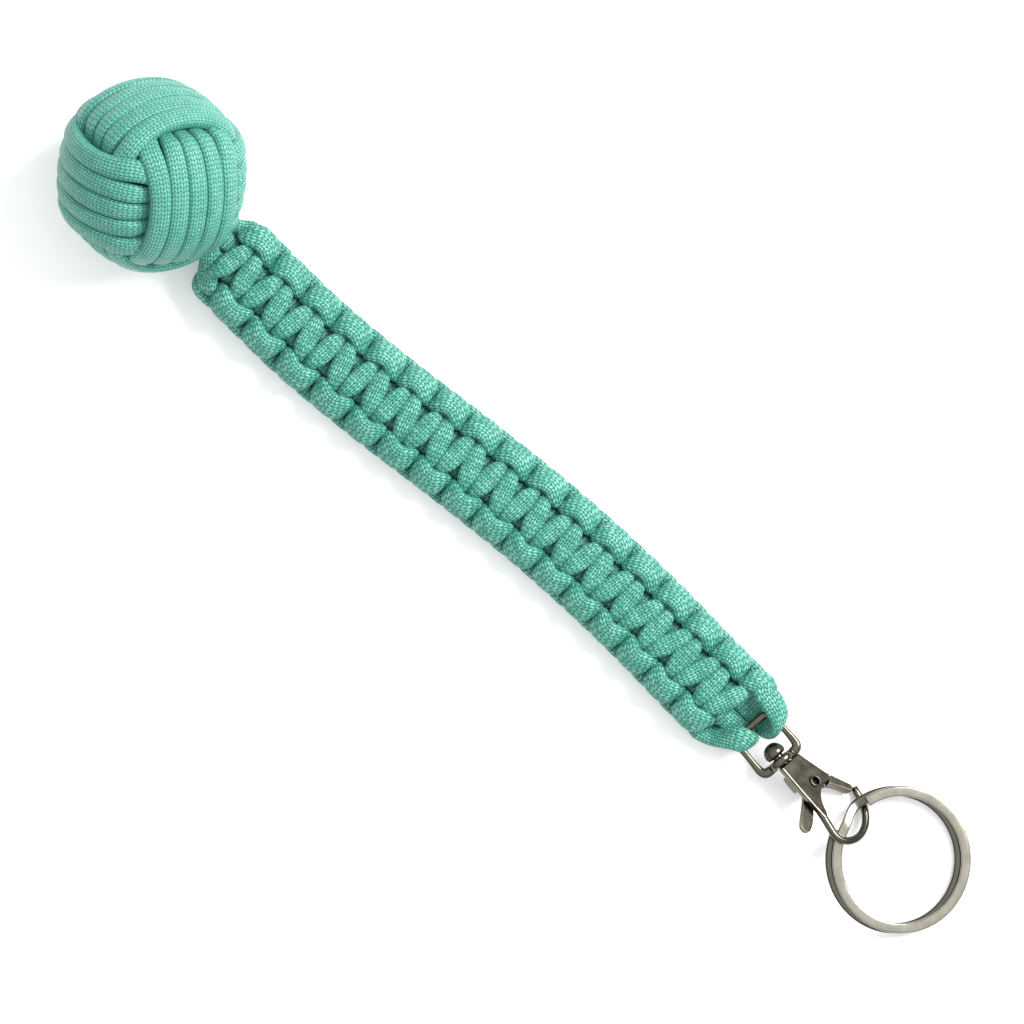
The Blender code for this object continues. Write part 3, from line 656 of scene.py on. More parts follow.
@dataclass
class Weave:
    """Square-knot lanyard: two straight core strands inside a front cord and a back cord."""

    line: MiddleLine
    nylon: Material
    # Places of the side bumps along the measuring axis: a few measured ones, the others evenly between.
    anchor_knots: tuple = (-1.0, 0.0, 1.0, 9.0, 17.0, 25.0, 32.0, 33.0, 34.0)
    anchor_places: tuple = (-6.9, -2.9, 1.3, 34.7, 65.2, 96.2, 122.7, 126.7, 130.6)
    knots: int = 33
    # How far the left side leads the right one, by place.
    lead_places: tuple = (0.0, 25.0, 60.0, 75.0, 90.0, 105.0, 120.0)
    lead: tuple = (0.0, -0.35, -0.35, 0.0, 0.3, 1.0, 1.15)
    half_width: float = 6.7
    # Quarter of a half knot, from the arm's middle to the turn behind: share of a knot, across, up, flat
    # side's direction, half width and half thickness.
    quarter: tuple = (
        (0.50, 0, 2.85, 0, 0, 1, 1.98, 1.35), (0.58, 1.9, 2.95, 0.05, 0.1, 1, 1.85, 1.35),
        (0.67, 3.6, 2.4, 0.1, 0.35, 0.95, 1.35, 1.25), (0.69, 4.75, 1.1, 0.1, 0.75, 0.6, 1.45, 1.15),
        (0.715, 5.2, -0.3, 0.5, 0.8, 0, 1.5, 1.2), (0.72, 5.5, -1.4, 0.7, 0.4, -0.55, 2.05, 1.15),
        (0.55, 6.3, -2.35, 0.25, 0.52, -0.8, 2.5, 1.25), (0.30, 6.9, -2.6, 0.05, 0.58, -0.8, 2.7, 1.3),
        (0, 7, -2.6, 0, 0.6, -0.8, 2.7, 1.3),
    )
    core_side: float = 1.92
    core_cord: tuple[float, float] = (1.9, 1.25)
    squareness: float = 2.3
    cuts: tuple[int, int, int] = (10, 16, 23)
    # Row of a half knot at which a cord is cut, on its way round the edge.
    cut_row: int = 4
    neck_cuts: tuple[float, float] = (-3.3, -0.9)
    core_start: float = -9.0
    # Place from which a working cord that has gone round the eye runs on as a core strand, and its rows there.
    return_place: float = 124.0
    return_rows: int = 8
    core_rows: int = 40
    core_step: float = 0.8
    cord_sides: int = 30
    core_sides: int = 16
    # Joints that the lanyard bends at, each with its part's name and its reach along the line, before and after.
    bends: tuple = (
        ("ball_swing", "root", 1.4, 1.2), ("neck_bend", "neck", 1.1, 1.0),
        *(("weave_bend_%d" % number, "weave_%d" % number, 9.0, 9.0) for number in range(1, 5)),
    )
    # First row and last knot share of each working cord between its two ends.
    front_knots: tuple[int, float] = (10, 32.75)
    back_knots: tuple[int, float] = (14, 33.01)
    # Ends of the working cords, by place, across, up, flat side's direction, half width and half thickness.
    front_start: tuple = (
        (-8.6, 2.6, 0.4, 0, 0.3, -0.9, 1.5, 1.1), (-6.6, 3.4, -0.6, 0, 0.4, -0.9, 1.8, 1.2),
        (-4.4, 4.3, -1.5, 0, 0.5, -0.85, 2.1, 1.25), (-2.6, 5.3, -2.1, 0, 0.6, -0.8, 2.3, 1.25),
    )
    back_start: tuple = (
        (-9, -0.4, 1, 0, -0.2, 1, 1.6, 1.2), (-6.4, -0.7, 1, 0, -0.3, 0.95, 1.9, 1.25),
        (-4.4, -1.7, 1, -0.2, -0.4, 0.9, 2, 1.3), (-2.8, -3.3, 0.9, -0.3, -0.5, 0.85, 2.05, 1.3),
        (-1.3, -5.2, 0.5, -0.3, -0.6, 0.8, 2.1, 1.3), (0.2, -6.6, -0.4, -0.1, -0.85, 0.5, 2.1, 1.3),
        (0.9, -6.6, -1.7, 0.3, -0.85, -0.3, 1.9, 1.25), (0.6, -5.4, -2.6, 0.2, -0.3, -0.95, 1.8, 1.25),
    )
    front_loop: tuple = (
        (126.6, -6.6, -2.2, 0, -0.5, -0.85, 2.4, 1.25), (128.6, -5.5, -0.8, 0.3, -0.2, -0.9, 2.25, 1.2),
        (130.3, -4.3, 1.1, 0.4, 0, -0.9, 2.3, 1.15), (131.7, -3.3, 2.15, 0, 0, -1, 2.4, 1.05),
        (133, -2.7, 1.5, -0.7, 0.1, -0.7, 2.4, 1), (133.4, -2.5, 0, -1, 0.1, 0, 2.35, 1),
        (132.8, -2.3, -1.6, -0.7, 0, 0.7, 2.1, 1.05), (131.2, -2.1, -2.2, 0, 0, 1, 1.9, 1.1),
        (129.2, -1.92, -1.6, 0.3, 0, 0.95, 1.9, 1.15), (127.2, -2.15, -0.5, 0.3, 0, 0.95, 2.15, 1.2),
        (125.5, -2.05, 0, 0, 0, 1, 2.05, 1.25),
    )
    back_loop: tuple = (
        (128.8, 6.3, 2.7, 0, 0.45, 0.9, 2.4, 1.25), (131, 5.9, 2.7, 0.1, 0.35, 0.95, 2.35, 1.2),
        (133.2, 5.1, 2.2, 0.45, 0.4, 0.8, 2.2, 1.15), (134.5, 3.8, 0.9, 0.85, 0.5, 0.2, 2, 1.1),
        (134.4, 2.3, -0.7, 0.8, 0.3, -0.5, 1.8, 1.1), (133.2, 1.8, -1.9, 0.4, 0.2, -0.9, 2, 1.1),
        (131.4, 2.1, -2.3, 0, 0, -1, 2.2, 1.1), (129.2, 2.1, -1.5, -0.3, 0, -0.95, 2.15, 1.15),
        (127.2, 2.15, -0.5, -0.3, 0, -0.95, 2.15, 1.2), (125.5, 2.05, 0, 0, 0, -1, 2.05, 1.25),
    )

    def place_of(self, knot: np.ndarray | float, across: np.ndarray | float = 0.0) -> np.ndarray:
        """Length along the line of a knot, or a share of one, at a distance across."""
        place = np.interp(knot, self.anchor_knots, self.anchor_places)
        return self.line.length_at(place + np.interp(place, self.lead_places, self.lead) * across / self.half_width)

    def anchor(self, knot: float) -> float:
        """Place of a knot on the measuring axis."""
        return float(np.interp(knot, self.anchor_knots, self.anchor_places))

    def half_knot(self, number: int, flip: float) -> list[tuple]:
        """Rows of one half knot of a cord, from one arm's middle to the next.

        Args:
            number: Number of the half knot.
            flip: 1 for the front cord, whose turns are behind, or -1 for the back cord.

        Returns:
            Knot share, across, up, flat side's direction, half width and half thickness.
        """
        side = -flip if number % 2 else flip
        return [(number + hand * share, side * across, flip * up, hand * flat_x, side * flat_y, flip * flat_z,
                 wide, thick)
                for hand, part in ((-1.0, self.quarter), (1.0, self.quarter[-2:0:-1]))
                for share, across, up, flat_x, flat_y, flat_z, wide, thick in part]

    def cord_rows(self, flip: float) -> np.ndarray:
        """Rows in space of a whole working cord, with its start by the ball and its loop round the eye.

        Args:
            flip: 1 for the front cord or -1 for the back cord.

        Returns:
            Place, flat side's direction, half width and half thickness of each point.
        """
        first, last = self.front_knots if flip > 0 else self.back_knots
        start, loop = (self.front_start, self.front_loop) if flip > 0 else (self.back_start, self.back_loop)
        rows = [row for number in range(self.knots + 1) for row in self.half_knot(number, flip)]
        rows = np.array([row for row in rows[first:] if row[0] <= last])
        rows[:, 0] = self.place_of(rows[:, 0], rows[:, 1])
        core = [(place, math.copysign(self.core_side, loop[-1][1]), 0.0, 0.0, 0.0, loop[-1][5], *self.core_cord)
                for place in np.linspace(self.return_place, self.anchor(self.cuts[-1]), self.return_rows)]
        ends = [np.array(part, dtype=float) for part in (start, (*loop, *core))]
        for part in ends:
            part[:, 0] = self.line.length_at(part[:, 0])
        return self.line.place(np.vstack([ends[0], rows, ends[1]]))

    def sample_at(self, cord: Cord, length: np.ndarray, row: tuple) -> int:
        """Number of a cord's sample nearest to a row, at a length along the line."""
        return cord.nearest(self.line.place(np.array([[length, *row[1:]]], dtype=float))[0, :3])

    def build(self) -> None:
        """Builds the two working cords with their loops and the two core strands."""
        for name, flip, side in (("front", 1.0, "right"), ("back", -1.0, "left")):
            cord = Cord(self.cord_rows(flip))
            cuts = [self.half_knot(number, flip)[self.cut_row] for number in self.cuts]
            marks = [self.sample_at(cord, self.place_of(row[0], row[1]), row) for row in cuts]
            tail = [cord.past(place) for place in self.neck_cuts]
            if flip < 0:
                edge = self.back_start[-2]
                tail[1] = self.sample_at(cord, self.line.length_at(edge[0]), edge)
            self.add_parts(name, cord, [0, *tail, *marks, len(cord.rows) - 1], self.cord_sides, "cord_" + name,
                           ["eye_loop_" + side, "stretch_5_core_" + side])
        for side in Side:
            name = "core_" + side.name.lower()
            rows = [(float(self.line.length_at(place)), side.value * self.core_side, 0.0, 0.0, 0.0, 1.0,
                     *self.core_cord)
                    for place in np.linspace(self.core_start, self.anchor(self.cuts[-1]), self.core_rows)]
            cord = Cord(self.line.place(np.array(rows)), self.core_step)
            marks = [cord.past(place) for place in (*self.neck_cuts, *map(self.anchor, self.cuts[:2]))]
            self.add_parts(name, cord, [0, *marks, len(cord.rows) - 1], self.core_sides, name, [])

    def add_parts(self, name: str, cord: Cord, marks: list[int], sides: int, kind: str, loops: list[str]) -> None:
        """Adds a cord in parts, one for each joint.

        Args:
            name: Name of the cord.
            cord: The whole cord.
            marks: Samples where the parts start, and the last sample.
            sides: Number of sides of the tube.
            kind: Last words of the frame's nodes that the parts in the weave stand for.
            loops: Nodes that the last part also stands for.
        """
        for (joint, part, *reach), first, end in zip(self.bends, marks, marks[1:]):
            piece_name = "%s_%s" % (name, part)
            mesh = cord.mesh(piece_name, sides, self.squareness, slice(first, end + 1))
            piece = add_cord(piece_name, mesh, self.nylon)
            self.bend(piece, joint, *reach)
            if part.startswith("weave"):
                covered = ["stretch_%d_%s" % (int(part[-1]) + further, kind) for further in (0, 1)]
                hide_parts(*covered, *(loops if end == marks[-1] else []))
            elif kind.startswith("core"):
                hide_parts(kind.replace("core", "neck_strand"))

    def bend(self, piece: Object, joint: str, before: float, after: float) -> None:
        """Finds a joint and its direction on the line, and bakes the piece's place into its mesh.

        Args:
            piece: The piece.
            joint: Name of the joint.
            before: Length before the joint; not used.
            after: Length after the joint; not used.
        """
        found = next(item for item in frame["joints"] if item["name"] == joint)
        middle = Vector(found["pos_m"])
        length = self.line.length_at(middle.x / MM + ORIGIN[0])
        along = Vector(self.line.directions(length)[0]) * MM
        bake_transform(piece)


# Steps of metalwork that several pieces share

def pick(piece: Object) -> None:
    """Selects a piece alone and makes it the active one.

    Args:
        piece: The piece.
    """
    bpy.ops.object.select_all(action="DESELECT")
    piece.select_set(True)
    bpy.context.view_layer.objects.active = piece


def start_piece(add: Callable, **settings: object) -> Object:
    """Adds a primitive, with all else deselected.

    Args:
        add: Operator that adds it.
        **settings: Settings of the operator.

    Returns:
        The new piece.
    """
    bpy.ops.object.select_all(action="DESELECT")
    add(**settings)
    return bpy.context.object


def apply_place() -> None:
    """Puts the place, turn and size of the selected piece into its mesh."""
    bpy.ops.object.transform_apply(location=True, rotation=True, scale=True)


def face_outwards() -> None:
    """Turns all faces of the piece in edit mode outwards."""
    bpy.ops.mesh.select_all(action="SELECT")
    bpy.ops.mesh.normals_make_consistent(inside=False)


def extrude(move: Vector | Place) -> None:
    """Extrudes what is selected in edit mode by a move in metres."""
    bpy.ops.mesh.extrude_region_move(TRANSFORM_OT_translate={"value": move})


@contextmanager
def edit_mode(piece: Object) -> Iterator[None]:
    """Opens a piece for editing with all of it selected, and closes it again.

    Args:
        piece: The piece to edit.

    Yields:
        Nothing; operators work on the piece meanwhile.
    """
    pick(piece)
    bpy.ops.object.mode_set(mode="EDIT")
    bpy.ops.mesh.select_mode(type="VERT")
    bpy.ops.mesh.select_all(action="SELECT")
    yield
    bpy.ops.object.mode_set(mode="OBJECT")


def close_up(piece: Object, merge: float = 0.001) -> None:
    """Merges doubles, closes open ends and turns the faces outwards.

    Args:
        piece: The piece.
        merge: Distance within which points are merged, in millimetres, or 0 for none.
    """
    with edit_mode(piece):
        if merge:
            bpy.ops.mesh.remove_doubles(threshold=merge * MM)
        bpy.ops.mesh.select_mode(type="EDGE")
        bpy.ops.mesh.select_all(action="DESELECT")
        bpy.ops.mesh.select_non_manifold()
        bpy.ops.mesh.fill_holes(sides=0)
        face_outwards()


def apply_modifier(piece: Object, kind: str, **settings: object) -> None:
    """Gives a piece a modifier and applies it.

    Args:
        piece: The piece.
        kind: Type name of the modifier.
        **settings: Properties of the modifier.
    """
    modifier = piece.modifiers.new(kind.lower(), kind)
    for name, value in settings.items():
        setattr(modifier, name, value)
    bpy.context.view_layer.objects.active = piece
    bpy.ops.object.modifier_apply(modifier=modifier.name)


def smooth_outline(corners: tuple, rounds: int = 2) -> list[tuple[float, float]]:
    """Rounds the corners of an outline by cutting each a quarter in, several times.

    Args:
        corners: Corners of the outline; one given twice stays sharper.
        rounds: How often the corners are cut.

    Returns:
        More and gentler corners.
    """
    points = np.array(corners, dtype=float)
    for _ in range(rounds):
        after = np.roll(points, -1, axis=0)
        points = np.stack([points * 0.75 + after * 0.25, points * 0.25 + after * 0.75], axis=1).reshape(-1, 2)
    apart = np.linalg.norm(points - np.roll(points, 1, axis=0), axis=1)
    return [tuple(point) for point in points[apart > 0.01]]


def plate(outline: list[tuple[float, float]], back: float, face: float, edge: float = 0.0) -> Object:
    """Makes a plate: a disc drawn out to an outline, extruded, its front and back edges bevelled.

    Args:
        outline: Along and across of each corner, in millimetres.
        back: Height of the back.
        face: Height of the front.
        edge: Width of the bevels.

    Returns:
        The plate, in metres.
    """
    piece = start_piece(bpy.ops.mesh.primitive_circle_add, vertices=len(outline), radius=MM, fill_type="NGON")
    for vertex, (along, across) in zip(piece.data.vertices, outline):
        vertex.co = Vector((along, across, back)) * MM
    with edit_mode(piece):
        extrude((0.0, 0.0, (face - back) * MM))
        face_outwards()
        if edge:
            bpy.ops.mesh.select_mode(type="EDGE")
            bpy.ops.mesh.select_all(action="DESELECT")
            for line in bmesh.from_edit_mesh(piece.data).edges:
                line.select_set(abs(line.verts[0].co.z - line.verts[1].co.z) < 1e-4 * MM)
            bmesh.update_edit_mesh(piece.data)
            bpy.ops.mesh.bevel(offset=edge * MM, segments=3, affect="EDGES")
    return piece


def bar(rows: np.ndarray, squareness: float = 2.0) -> Object:
    """Makes a bar: a disc extruded, turned and scaled step by step along a route.

    Args:
        rows: Along, across, height and radius at each step, in millimetres.
        squareness: Exponent of the section, 2 for round.

    Returns:
        The bar, in metres.
    """
    steps = np.gradient(rows[:, :2], axis=0)
    headings = np.unwrap(np.arctan2(steps[:, 1], steps[:, 0]))
    piece = start_piece(
        bpy.ops.mesh.primitive_circle_add, vertices=BAR_SIDES, radius=rows[0, 3] * MM, fill_type="NGON",
        location=rows[0, :3] * MM, rotation=(math.pi / 2, 0.0, headings[0] + math.pi / 2))
    for vertex, angle in zip(piece.data.vertices, np.arange(BAR_SIDES) * 2 * math.pi / BAR_SIDES):
        vertex.co *= (abs(math.cos(angle)) ** squareness + abs(math.sin(angle)) ** squareness) ** (-1 / squareness)
    apply_place()
    with edit_mode(piece):
        for index in range(1, len(rows)):
            before, row = rows[index - 1], rows[index]
            place = tuple(row[:3] * MM)
            extrude(tuple((row[:3] - before[:3]) * MM))
            # Without a window this operator turns the other way.
            bpy.ops.transform.rotate(value=headings[index - 1] - headings[index], orient_axis="Z",
                                     center_override=place)
            bpy.ops.transform.resize(value=(row[3] / before[3],) * 3, center_override=place)
        face_outwards()
    return piece


def route_through(points: tuple, step: float = 0.4) -> np.ndarray:
    """Evenly spaced rows on a smooth curve through points.

    Args:
        points: Along, across, height and radius of each point.
        step: Distance between rows, in millimetres.

    Returns:
        One row per step.
    """
    rows = np.array(points, dtype=float)
    padded = np.vstack([2 * rows[0] - rows[1], rows, 2 * rows[-1] - rows[-2]])
    return respaced(spline(padded, BAR_SAMPLES), step, round)[1]


def turned(profile: tuple, axis: Place = X_AXIS,
           centre: Place = (0.0, 0.0, 0.0)) -> Object:
    """Makes a turned piece: a point extruded along a profile, then spun.

    Args:
        profile: Place along the axis and radius of each point, in millimetres.
        axis: Direction of the axis.
        centre: A point of the axis, in millimetres.

    Returns:
        The piece, in metres.
    """
    middle = Vector(centre)
    places = [(middle + Vector(axis) * height + Vector((0.0, 1.0, 0.0)) * radius) * MM for height, radius in profile]
    piece = start_piece(bpy.ops.mesh.primitive_plane_add, size=MM, location=places[0])
    apply_place()
    with edit_mode(piece):
        bpy.ops.mesh.merge(type="CENTER")
        bpy.ops.mesh.select_all(action="SELECT")
        for before, after in zip(places, places[1:]):
            extrude(after - before)
        bpy.ops.mesh.select_all(action="SELECT")
        bpy.ops.mesh.spin(steps=TURN_STEPS, angle=2 * math.pi, center=middle * MM, axis=axis)
    close_up(piece)
    return piece


def rod(low: float, high: float, radius: float) -> tuple:
    """Profile of a plain rod, for turned."""
    return (low, 0.0), (low, radius), (high, radius), (high, 0.0)


def wind(piece: Object, degrees: float, climb: float, steps: int) -> None:
    """Winds a closed line beside the Z axis into a coil with closed ends.

    Args:
        piece: The line.
        degrees: How far it is wound.
        climb: Rise for each whole turn, in millimetres.
        steps: Steps of the whole coil.
    """
    apply_modifier(piece, "SCREW", angle=math.radians(degrees), screw_offset=climb * degrees / 360 * MM,
                   steps=steps, render_steps=steps)
    close_up(piece, 0.0)


def combine(piece: Object, tool: Object, use: Tool = Tool.JOIN) -> None:
    """Joins a piece with a tool or cuts it with one, and removes the tool."""
    apply_modifier(piece, "BOOLEAN", operation=use.value, solver="EXACT", object=tool)
    bpy.data.objects.remove(tool, do_unlink=True)


def tumble(piece: Object, grain: float = 0.11, rounds: int = 6) -> None:
    """Runs the edges and joints of a piece soft, as tumbling does, on new points a grain in millimetres apart."""
    apply_modifier(piece, "REMESH", mode="VOXEL", voxel_size=grain * MM)
    apply_modifier(piece, "SMOOTH", factor=0.5, iterations=rounds)


def put_in_place(piece: Object, matrix: Matrix, name: str, material: Material, body: str,
                 edges: Edges) -> None:
    """Finishes a metal piece: its place, shading, finish and body.

    Args:
        piece: The piece, modelled in its own axes.
        matrix: From its own axes to the model's.
        name: Name of the node that it stands for.
        material: Its finish.
        body: Body it rides on.
        edges: Which of its edges are shaded smooth.
    """
    piece.matrix_world = matrix
    pick(piece)
    apply_place()
    bpy.ops.object.shade_smooth_by_angle(angle=math.radians(edges.value))
    piece.name = piece.data.name = name + "_metal"
    dress(piece, material)
    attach(piece, body)
    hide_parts(name)


@dataclass
class Clasp:
    """Swivel trigger clasp: eye, rivet, hook, pin, lever and spring, in its own millimetres.

    The axes run along the clasp from the middle of the rivet's head, across it and out of its front.
    """

    metal: Material
    point: Place = (137.7, -0.95, 5.7)
    heading: float = math.radians(-8.0)
    hook_roll: float = math.radians(34.0)
    # Half of the eye's frame, from the collar to the middle of the bar: along, across, height, radius.
    eye_half: tuple = (
        (2.25, 1.4, 0, 0.9), (2.3, 2.7, 0, 0.95), (2.2, 3.7, 0, 0.95), (1.6, 4.2, 0, 0.9),
        (0.6, 4.35, 0, 0.8), (-1, 4.35, 0, 0.7), (-3, 4.3, 0, 0.68), (-5, 4.28, 0, 0.68),
        (-6, 3.9, 0, 0.7), (-6.45, 3, 0, 0.7), (-6.5, 1.5, 0, 0.7), (-6.5, 0, 0, 0.7),
    )
    # Place along the axis and radius of turned parts.
    collar: tuple = (
        (1.4, 1.45), (1.4, 2.4), (1.5, 2.62), (1.75, 2.8), (2.15, 2.86), (2.55, 2.8), (2.8, 2.62), (2.9, 2.4),
        (2.9, 1.45),
    )
    rivet: tuple = (
        (-1.7, 0), (-1.66, 0.5), (-1.5, 1), (-1.2, 1.45), (-0.75, 1.82), (-0.2, 2.05), (0.3, 2.12), (0.65, 2.08),
        (0.9, 1.95), (1.05, 1.75), (1.1, 1.5), (1.12, 1.1), (5.2, 1.1), (5.2, 0),
    )
    pin: tuple = (
        (-3.35, 0), (-3.35, 1.35), (-3.25, 1.5), (-3.1, 1.5), (-3.05, 1.4), (-3.05, 0.8), (1.5, 0.8), (1.5, 1.05),
        (1.6, 1.12), (1.7, 1.1), (1.78, 0.98), (1.78, 0.86), (1.7, 0.78), (1.3, 0.72), (0.5, 0.6), (0.5, 0),
    )
    pin_at: tuple[float, float] = (9.25, 1.95)
    pin_hole: float = 0.95
    socket: tuple[float, float, float] = (2.2, 5.4, 1.25)
    plate_outline: tuple = (
        (3.2, -1.95), (3.2, -1.95), (3.2, 0), (3.2, 2.9), (3.3, 3.3), (4.4, 3.55), (7, 4.4), (9, 5.05),
        (10.05, 5.5), (10.15, 5.5), (10.95, 4.4), (10.8, 3.7), (10.75, 2.8), (11.3, 1.7), (12.4, 0.6), (13.8, -0.1),
        (15.4, -0.6), (15.9, -1.2), (15.6, -1.75), (13.5, -1.85), (9.5, -1.95),
    )
    plate_height: tuple[float, float] = (0.1, 1.4)
    head_outline: tuple = ((3.2, -1.95), (3.2, -1.95), (3.2, 2.9), (3.4, 3.3), (4.6, 3.55), (6.1, 4.0), (6.1, -1.95))
    head_height: tuple[float, float] = (-1.4, 1.2)
    wall_outline: tuple = ((5.0, -1.95), (5.0, -1.0), (8.2, -1.0), (8.6, -1.4), (8.7, -1.95))
    wall_height: tuple[float, float] = (-1.1, 1.2)
    bow: tuple = (
        (11.6, -1.05, 0.8, 0.55), (12.6, -1.12, 0.75, 0.66), (14.8, -1.30, 0.64, 0.76), (17.2, -1.60, 0.46, 0.76),
        (19.2, -1.80, 0.3, 0.76), (20.6, -1.45, 0.2, 0.76), (21.8, -0.35, 0.1, 0.76), (22.5, 1.2, 0, 0.76),
        (22.6, 2.9, 0, 0.76), (22, 4.8, 0, 0.76), (20.9, 6.3, 0, 0.76), (19.3, 7.5, 0, 0.76),
        (17.6, 8.2, 0, 0.76), (16.2, 8.5, 0, 0.74), (15.1, 8.85, 0, 0.62),
    )
    lever_outline: tuple = (
        (7.9, 1.6), (8.1, 3), (9.2, 4.2), (10.4, 5.4), (14.2, 7.8), (14.6, 7.8), (15.25, 7.3), (15.1, 7),
        (13.4, 6), (12, 4.9), (11.15, 3.5), (10.9, 1.6), (12.2, -0.5), (14.2, -2.4), (15.6, -4.5),
        (15.75, -5.5), (15.1, -6.2), (14.1, -6.15), (13.3, -5.5), (11.9, -3.5), (10, -1), (8.4, 0.6),
    )
    lever_height: tuple[float, float] = (-1.2, -0.2)
    gate_outline: tuple = (
        (10.3, 5.65), (10.3, 5.65), (14.2, 7.75), (14.5, 7.85), (15.3, 7.25), (15.3, 7), (13.6, 5.9),
        (12.1, 4.75), (11.3, 4.1), (11.05, 4.35), (11.05, 4.35),
    )
    gate_height: tuple[float, float] = (-0.5, 1.3)
    spring_coils: float = 2.5
    spring_wire: float = 0.16
    spring_radius: float = 1.35
    spring_gap: float = 0.12
    spring_behind: float = 0.3
    spring_steps: int = 80

    def finish(self, piece: Object, name: str, body: str, edges: Edges) -> None:
        """Puts a piece in place with its dark plate; all but the eye are turned about the clasp's length.

        Args:
            piece: The piece, in the clasp's axes.
            name: Name of the node that it stands for.
            body: Body it rides on.
            edges: Kind of its edges.
        """
        matrix = Matrix.Translation(Vector(np.array(self.point) - ORIGIN) * MM) @ Matrix.Rotation(
            self.heading, 4, "Z") @ Matrix.Rotation(0.0 if body == "eye" else -self.hook_roll, 4, "X")
        put_in_place(piece, matrix, name, self.metal, body, edges)

    def drill(self, piece: Object) -> None:
        """Drills the pin's hole through a piece."""
        combine(piece, turned(rod(-4.0, 4.0, self.pin_hole), Z_AXIS, (*self.pin_at, 0.0)), Tool.CUT)

    def build_eye(self) -> None:
        """Frame bent round to a bar for the cords, run into the collar that the rivet turns in."""
        mirrored = [(along, -across, height, radius) for along, across, height, radius in self.eye_half]
        eye = bar(route_through((*mirrored[:-1], *self.eye_half[::-1]), step=0.3), squareness=2.6)
        combine(eye, turned(self.collar))
        combine(eye, turned(rod(0.0, 4.0, self.collar[0][1])), Tool.CUT)
        tumble(eye, grain=0.1, rounds=5)
        self.finish(eye, "eye", "eye", Edges.CAST)

    def build_rivet(self) -> None:
        """Domed head on a shank that ends in the hook."""
        self.finish(turned(self.rivet), "swivel_rivet", "hook", Edges.TURNED)

    def build_hook(self) -> None:
        """Cast plate and head with a side wall, run into the round bow."""
        hook = plate(smooth_outline(self.plate_outline), *self.plate_height, edge=0.18)
        combine(hook, plate(smooth_outline(self.head_outline), *self.head_height, edge=0.2))
        combine(hook, plate(smooth_outline(self.wall_outline, rounds=1), *self.wall_height, edge=0.1))
        combine(hook, bar(route_through(self.bow)))
        combine(hook, turned(rod(*self.socket)), Tool.CUT)
        self.drill(hook)
        tumble(hook)
        self.finish(hook, "hook", "hook", Edges.CAST)

    def build_pin(self) -> None:
        """Hollow rivet with a rolled rim in front and a flat head behind."""
        self.finish(turned(self.pin, Z_AXIS, (*self.pin_at, 0.0)), "gate_pin", "hook", Edges.TURNED)

    def build_lever(self) -> None:
        """Stamped lever with its thumb tab, and the thicker gate arm on it."""
        lever = plate(smooth_outline(self.lever_outline), *self.lever_height)
        combine(lever, plate(smooth_outline(self.gate_outline), *self.gate_height))
        self.drill(lever)
        tumble(lever, grain=0.1, rounds=4)
        self.finish(lever, "gate_lever", "gate", Edges.CAST)

    def build_spring(self) -> None:
        """Closing spring round the pin, behind the lever."""
        wire = self.spring_wire
        spring = start_piece(bpy.ops.mesh.primitive_circle_add, vertices=10, radius=wire * MM,
                             location=(self.spring_radius * MM, 0.0, 0.0), rotation=(math.pi / 2, 0.0, 0.0))
        apply_place()
        wind(spring, 360.0 * self.spring_coils, -(wire * 2 + self.spring_gap), self.spring_steps)
        low = self.lever_height[0] - self.spring_behind - wire
        with edit_mode(spring):
            bpy.ops.transform.translate(value=Vector((*self.pin_at, low)) * MM)
        self.finish(spring, "gate_spring", "hook", Edges.SPRING)

    def build(self) -> None:
        """Builds the six pieces."""
        self.build_eye()
        self.build_rivet()
        self.build_hook()
        self.build_pin()
        self.build_lever()
        self.build_spring()


